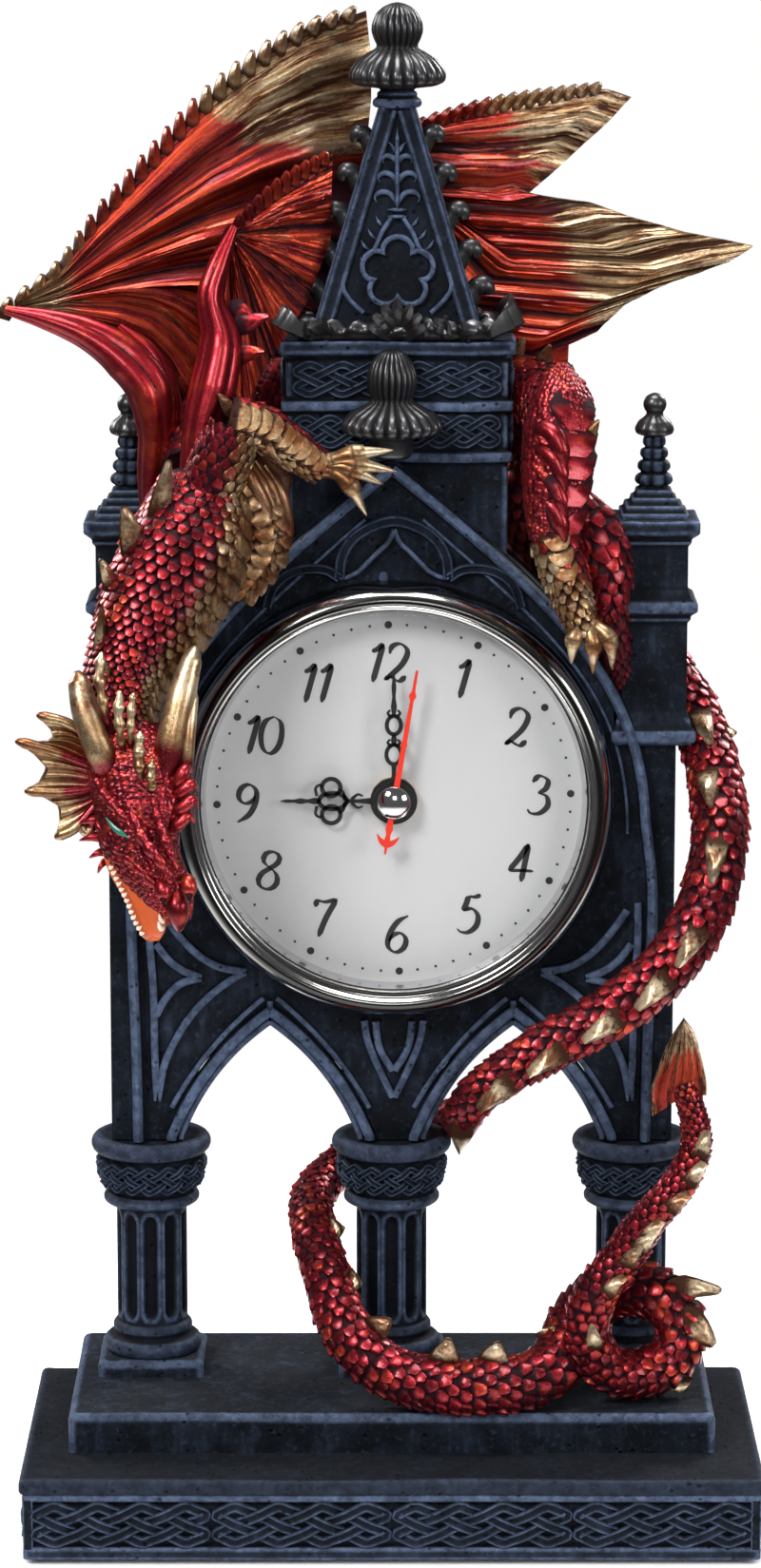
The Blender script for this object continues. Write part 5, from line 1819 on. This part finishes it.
BODY_OF = {node: body for body, nodes in frame["record"]["behaviour"]["bodies"].items() for node in nodes}


def make(skin, name, finish, node=None, slot=None, body=None, crease=38):
    """Makes a piece of a skin: one that takes a CAD node's place, or one more on a body."""
    replaced = (node,) if node else ()
    skin.finish(name, finish_of(finish), body or BODY_OF.get(node, CASE), slot or finish, replaced, crease)


def carve(work, finish):
    """Runs a maker that fills a dictionary of skins, each named for the CAD node that it stands for."""
    skins = collections.defaultdict(Skin)
    work(skins)
    for name, skin in skins.items():
        make(skin, f"carved_{name}", "pewter" if "tip" in name else finish, name if name in BODY_OF else None)


def repaint_frame():
    """Gives every CAD node that stays in sight the finish of its slot."""
    for node in frame["nodes"].values():
        for place in node.material_slots:
            place.material = finish_of(place.material.name.split(".")[0])


def colour(name, description, default):
    """A colour property, in linear values."""
    return bpy.props.FloatVectorProperty(name=name, description=description, subtype="COLOR", size=3, min=0,
                                         max=1, default=default)


class DragonClockLook(bpy.types.PropertyGroup):
    """The colours that a user would change."""
    stone_dark: colour("Dark stone", "The stone's darkest ground", (0.003, 0.004, 0.006))
    stone_mid: colour("Stone", "The stone's lighter ground", (0.008, 0.0115, 0.019))
    stone_top: colour("Stone tops", "Faces that look upwards", (0.014, 0.0155, 0.019))
    stone_edge: colour("Worn edge", "The dry brushing on raised edges", (0.085, 0.115, 0.19))
    dragon_red_dark: colour("Deep red", "The darker scales", (0.1, 0.003, 0.006))
    dragon_red: colour("Red", "The lighter scales", (0.265, 0.011, 0.017))
    dragon_orange: colour("Orange red", "Where the red turns warm", (0.46, 0.055, 0.012))
    dragon_pink: colour("Pink", "The rubbed crowns of scales", (0.75, 0.16, 0.19))
    dragon_gold: colour("Gold", "Leafed gold", (0.3, 0.185, 0.082))
    dragon_pale: colour("Pale gold", "The brightest gold", (0.62, 0.5, 0.33))
    dragon_brown: colour("Brown wash", "The wash over gold", (0.15, 0.045, 0.012))
    dial: colour("Dial", "The dial's ground", (0.5, 0.5, 0.5))
    jaw: colour("Jaw", "The lower jaw's orange", (0.68, 0.12, 0.03))


def step(work):
    """What an operator executes: the work, which raises an error where it can't be done."""
    def execute(self, context):
        """Runs the step's work."""
        work()
        return {"FINISHED"}
    return execute


class CarveBase(bpy.types.Operator):
    """The plinth with its knotwork, the slab and the step."""
    bl_idname = "dragon_clock.carve_base"
    bl_label = "Base"
    execute = step(lambda: carve(carve_base, "painted_stone"))


class CarveColumns(bpy.types.Operator):
    """Three fluted columns with knotted capitals."""
    bl_idname = "dragon_clock.carve_columns"
    bl_label = "Columns"
    execute = step(lambda: carve(carve_columns, "painted_stone"))


class CarveWall(bpy.types.Operator):
    """The gable's and arches' rolls and the tracery."""
    bl_idname = "dragon_clock.carve_wall"
    bl_label = "Wall"
    execute = step(lambda: carve(carve_wall, "painted_stone"))


class CarveTurrets(bpy.types.Operator):
    """The two turrets and their finials."""
    bl_idname = "dragon_clock.carve_turrets"
    bl_label = "Turrets"
    execute = step(lambda: carve(carve_turrets, "painted_stone"))


class CarveTower(bpy.types.Operator):
    """The tower with two bands of knotwork."""
    bl_idname = "dragon_clock.carve_tower"
    bl_label = "Tower"
    execute = step(lambda: carve(carve_tower, "painted_stone"))


class CarveSpire(bpy.types.Operator):
    """The spire with its relief, and its collar."""
    bl_idname = "dragon_clock.carve_spire"
    bl_label = "Spire"
    execute = step(lambda: carve(carve_spire, "painted_stone"))


class CastOrnaments(bpy.types.Operator):
    """The crockets, the garland and the finials."""
    bl_idname = "dragon_clock.cast_ornaments"
    bl_label = "Ornaments"
    execute = step(lambda: carve(cast_ornaments, "pewter"))


class MakeRings(bpy.types.Operator):
    """The bezel, the glass and the ring behind it."""
    bl_idname = "dragon_clock.make_rings"
    bl_label = "Clock rings"
    execute = step(make_case_rings)


class PrintDial(bpy.types.Operator):
    """The dial with its dots and numerals."""
    bl_idname = "dragon_clock.print_dial"
    bl_label = "Dial"
    execute = step(print_dial)


class MakeHands(bpy.types.Operator):
    """The three hands and the chrome cap."""
    bl_idname = "dragon_clock.make_hands"
    bl_label = "Hands"
    execute = step(make_hands)


class CarveTail(bpy.types.Operator):
    """The tail's three pieces."""
    bl_idname = "dragon_clock.carve_tail"
    bl_label = "Tail"
    execute = step(carve_tail)


class CarveBody(bpy.types.Operator):
    """The dragon's body and neck."""
    bl_idname = "dragon_clock.carve_body"
    bl_label = "Body and neck"
    execute = step(carve_body)


class CarveWings(bpy.types.Operator):
    """The two wings in three pieces."""
    bl_idname = "dragon_clock.carve_wings"
    bl_label = "Wings"
    execute = step(carve_wings)


class CarveLegs(bpy.types.Operator):
    """The foreleg and the hind leg."""
    bl_idname = "dragon_clock.carve_legs"
    bl_label = "Legs"
    execute = step(carve_legs)


class CarveHead(bpy.types.Operator):
    """The head, the eye, the jaw and the teeth."""
    bl_idname = "dragon_clock.carve_head"
    bl_label = "Head"
    execute = step(carve_head)


class RepaintFrame(bpy.types.Operator):
    """Finishes for the CAD parts that stay in sight."""
    bl_idname = "dragon_clock.repaint_frame"
    bl_label = "Plain parts"
    execute = step(repaint_frame)


class SetStage(bpy.types.Operator):
    """The floor, the surroundings, the lamps and the camera."""
    bl_idname = "dragon_clock.set_stage"
    bl_label = "Stage"
    execute = step(set_stage)


STEPS = (CarveBase, CarveColumns, CarveWall, CarveTurrets, CarveTower, CarveSpire, CastOrnaments, MakeRings,
         PrintDial, MakeHands, CarveTail, CarveBody, CarveWings, CarveLegs, CarveHead, RepaintFrame,
         SetStage)


class DragonClockPanel(bpy.types.Panel):
    """Lists the steps and the colours in the sidebar."""
    bl_idname = "DRAGON_CLOCK_PT_panel"
    bl_label = "Dragon clock"
    bl_space_type = "VIEW_3D"
    bl_region_type = "UI"
    bl_category = "Dragon clock"

    def draw(self, context):
        """Draws a button for each step and a field for each colour."""
        for each in STEPS:
            self.layout.operator(each.bl_idname)
        for name in DragonClockLook.__annotations__:
            self.layout.prop(context.scene.dragon_clock_look, name)


CLASSES = (DragonClockLook, *STEPS, DragonClockPanel)


def register():
    """Registers the add-on's classes and its settings."""
    for each in CLASSES:
        bpy.utils.register_class(each)
    bpy.types.Scene.dragon_clock_look = bpy.props.PointerProperty(type=DragonClockLook)


def unregister():
    """Takes the add-on's classes and settings away."""
    del bpy.types.Scene.dragon_clock_look
    for each in reversed(CLASSES):
        bpy.utils.unregister_class(each)


def main():
    """Makes the whole clock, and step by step."""
    register()
    for each in STEPS:
        getattr(bpy.ops.dragon_clock, each.bl_idname.split(".")[1])()


if __name__ == "__main__":
    main()
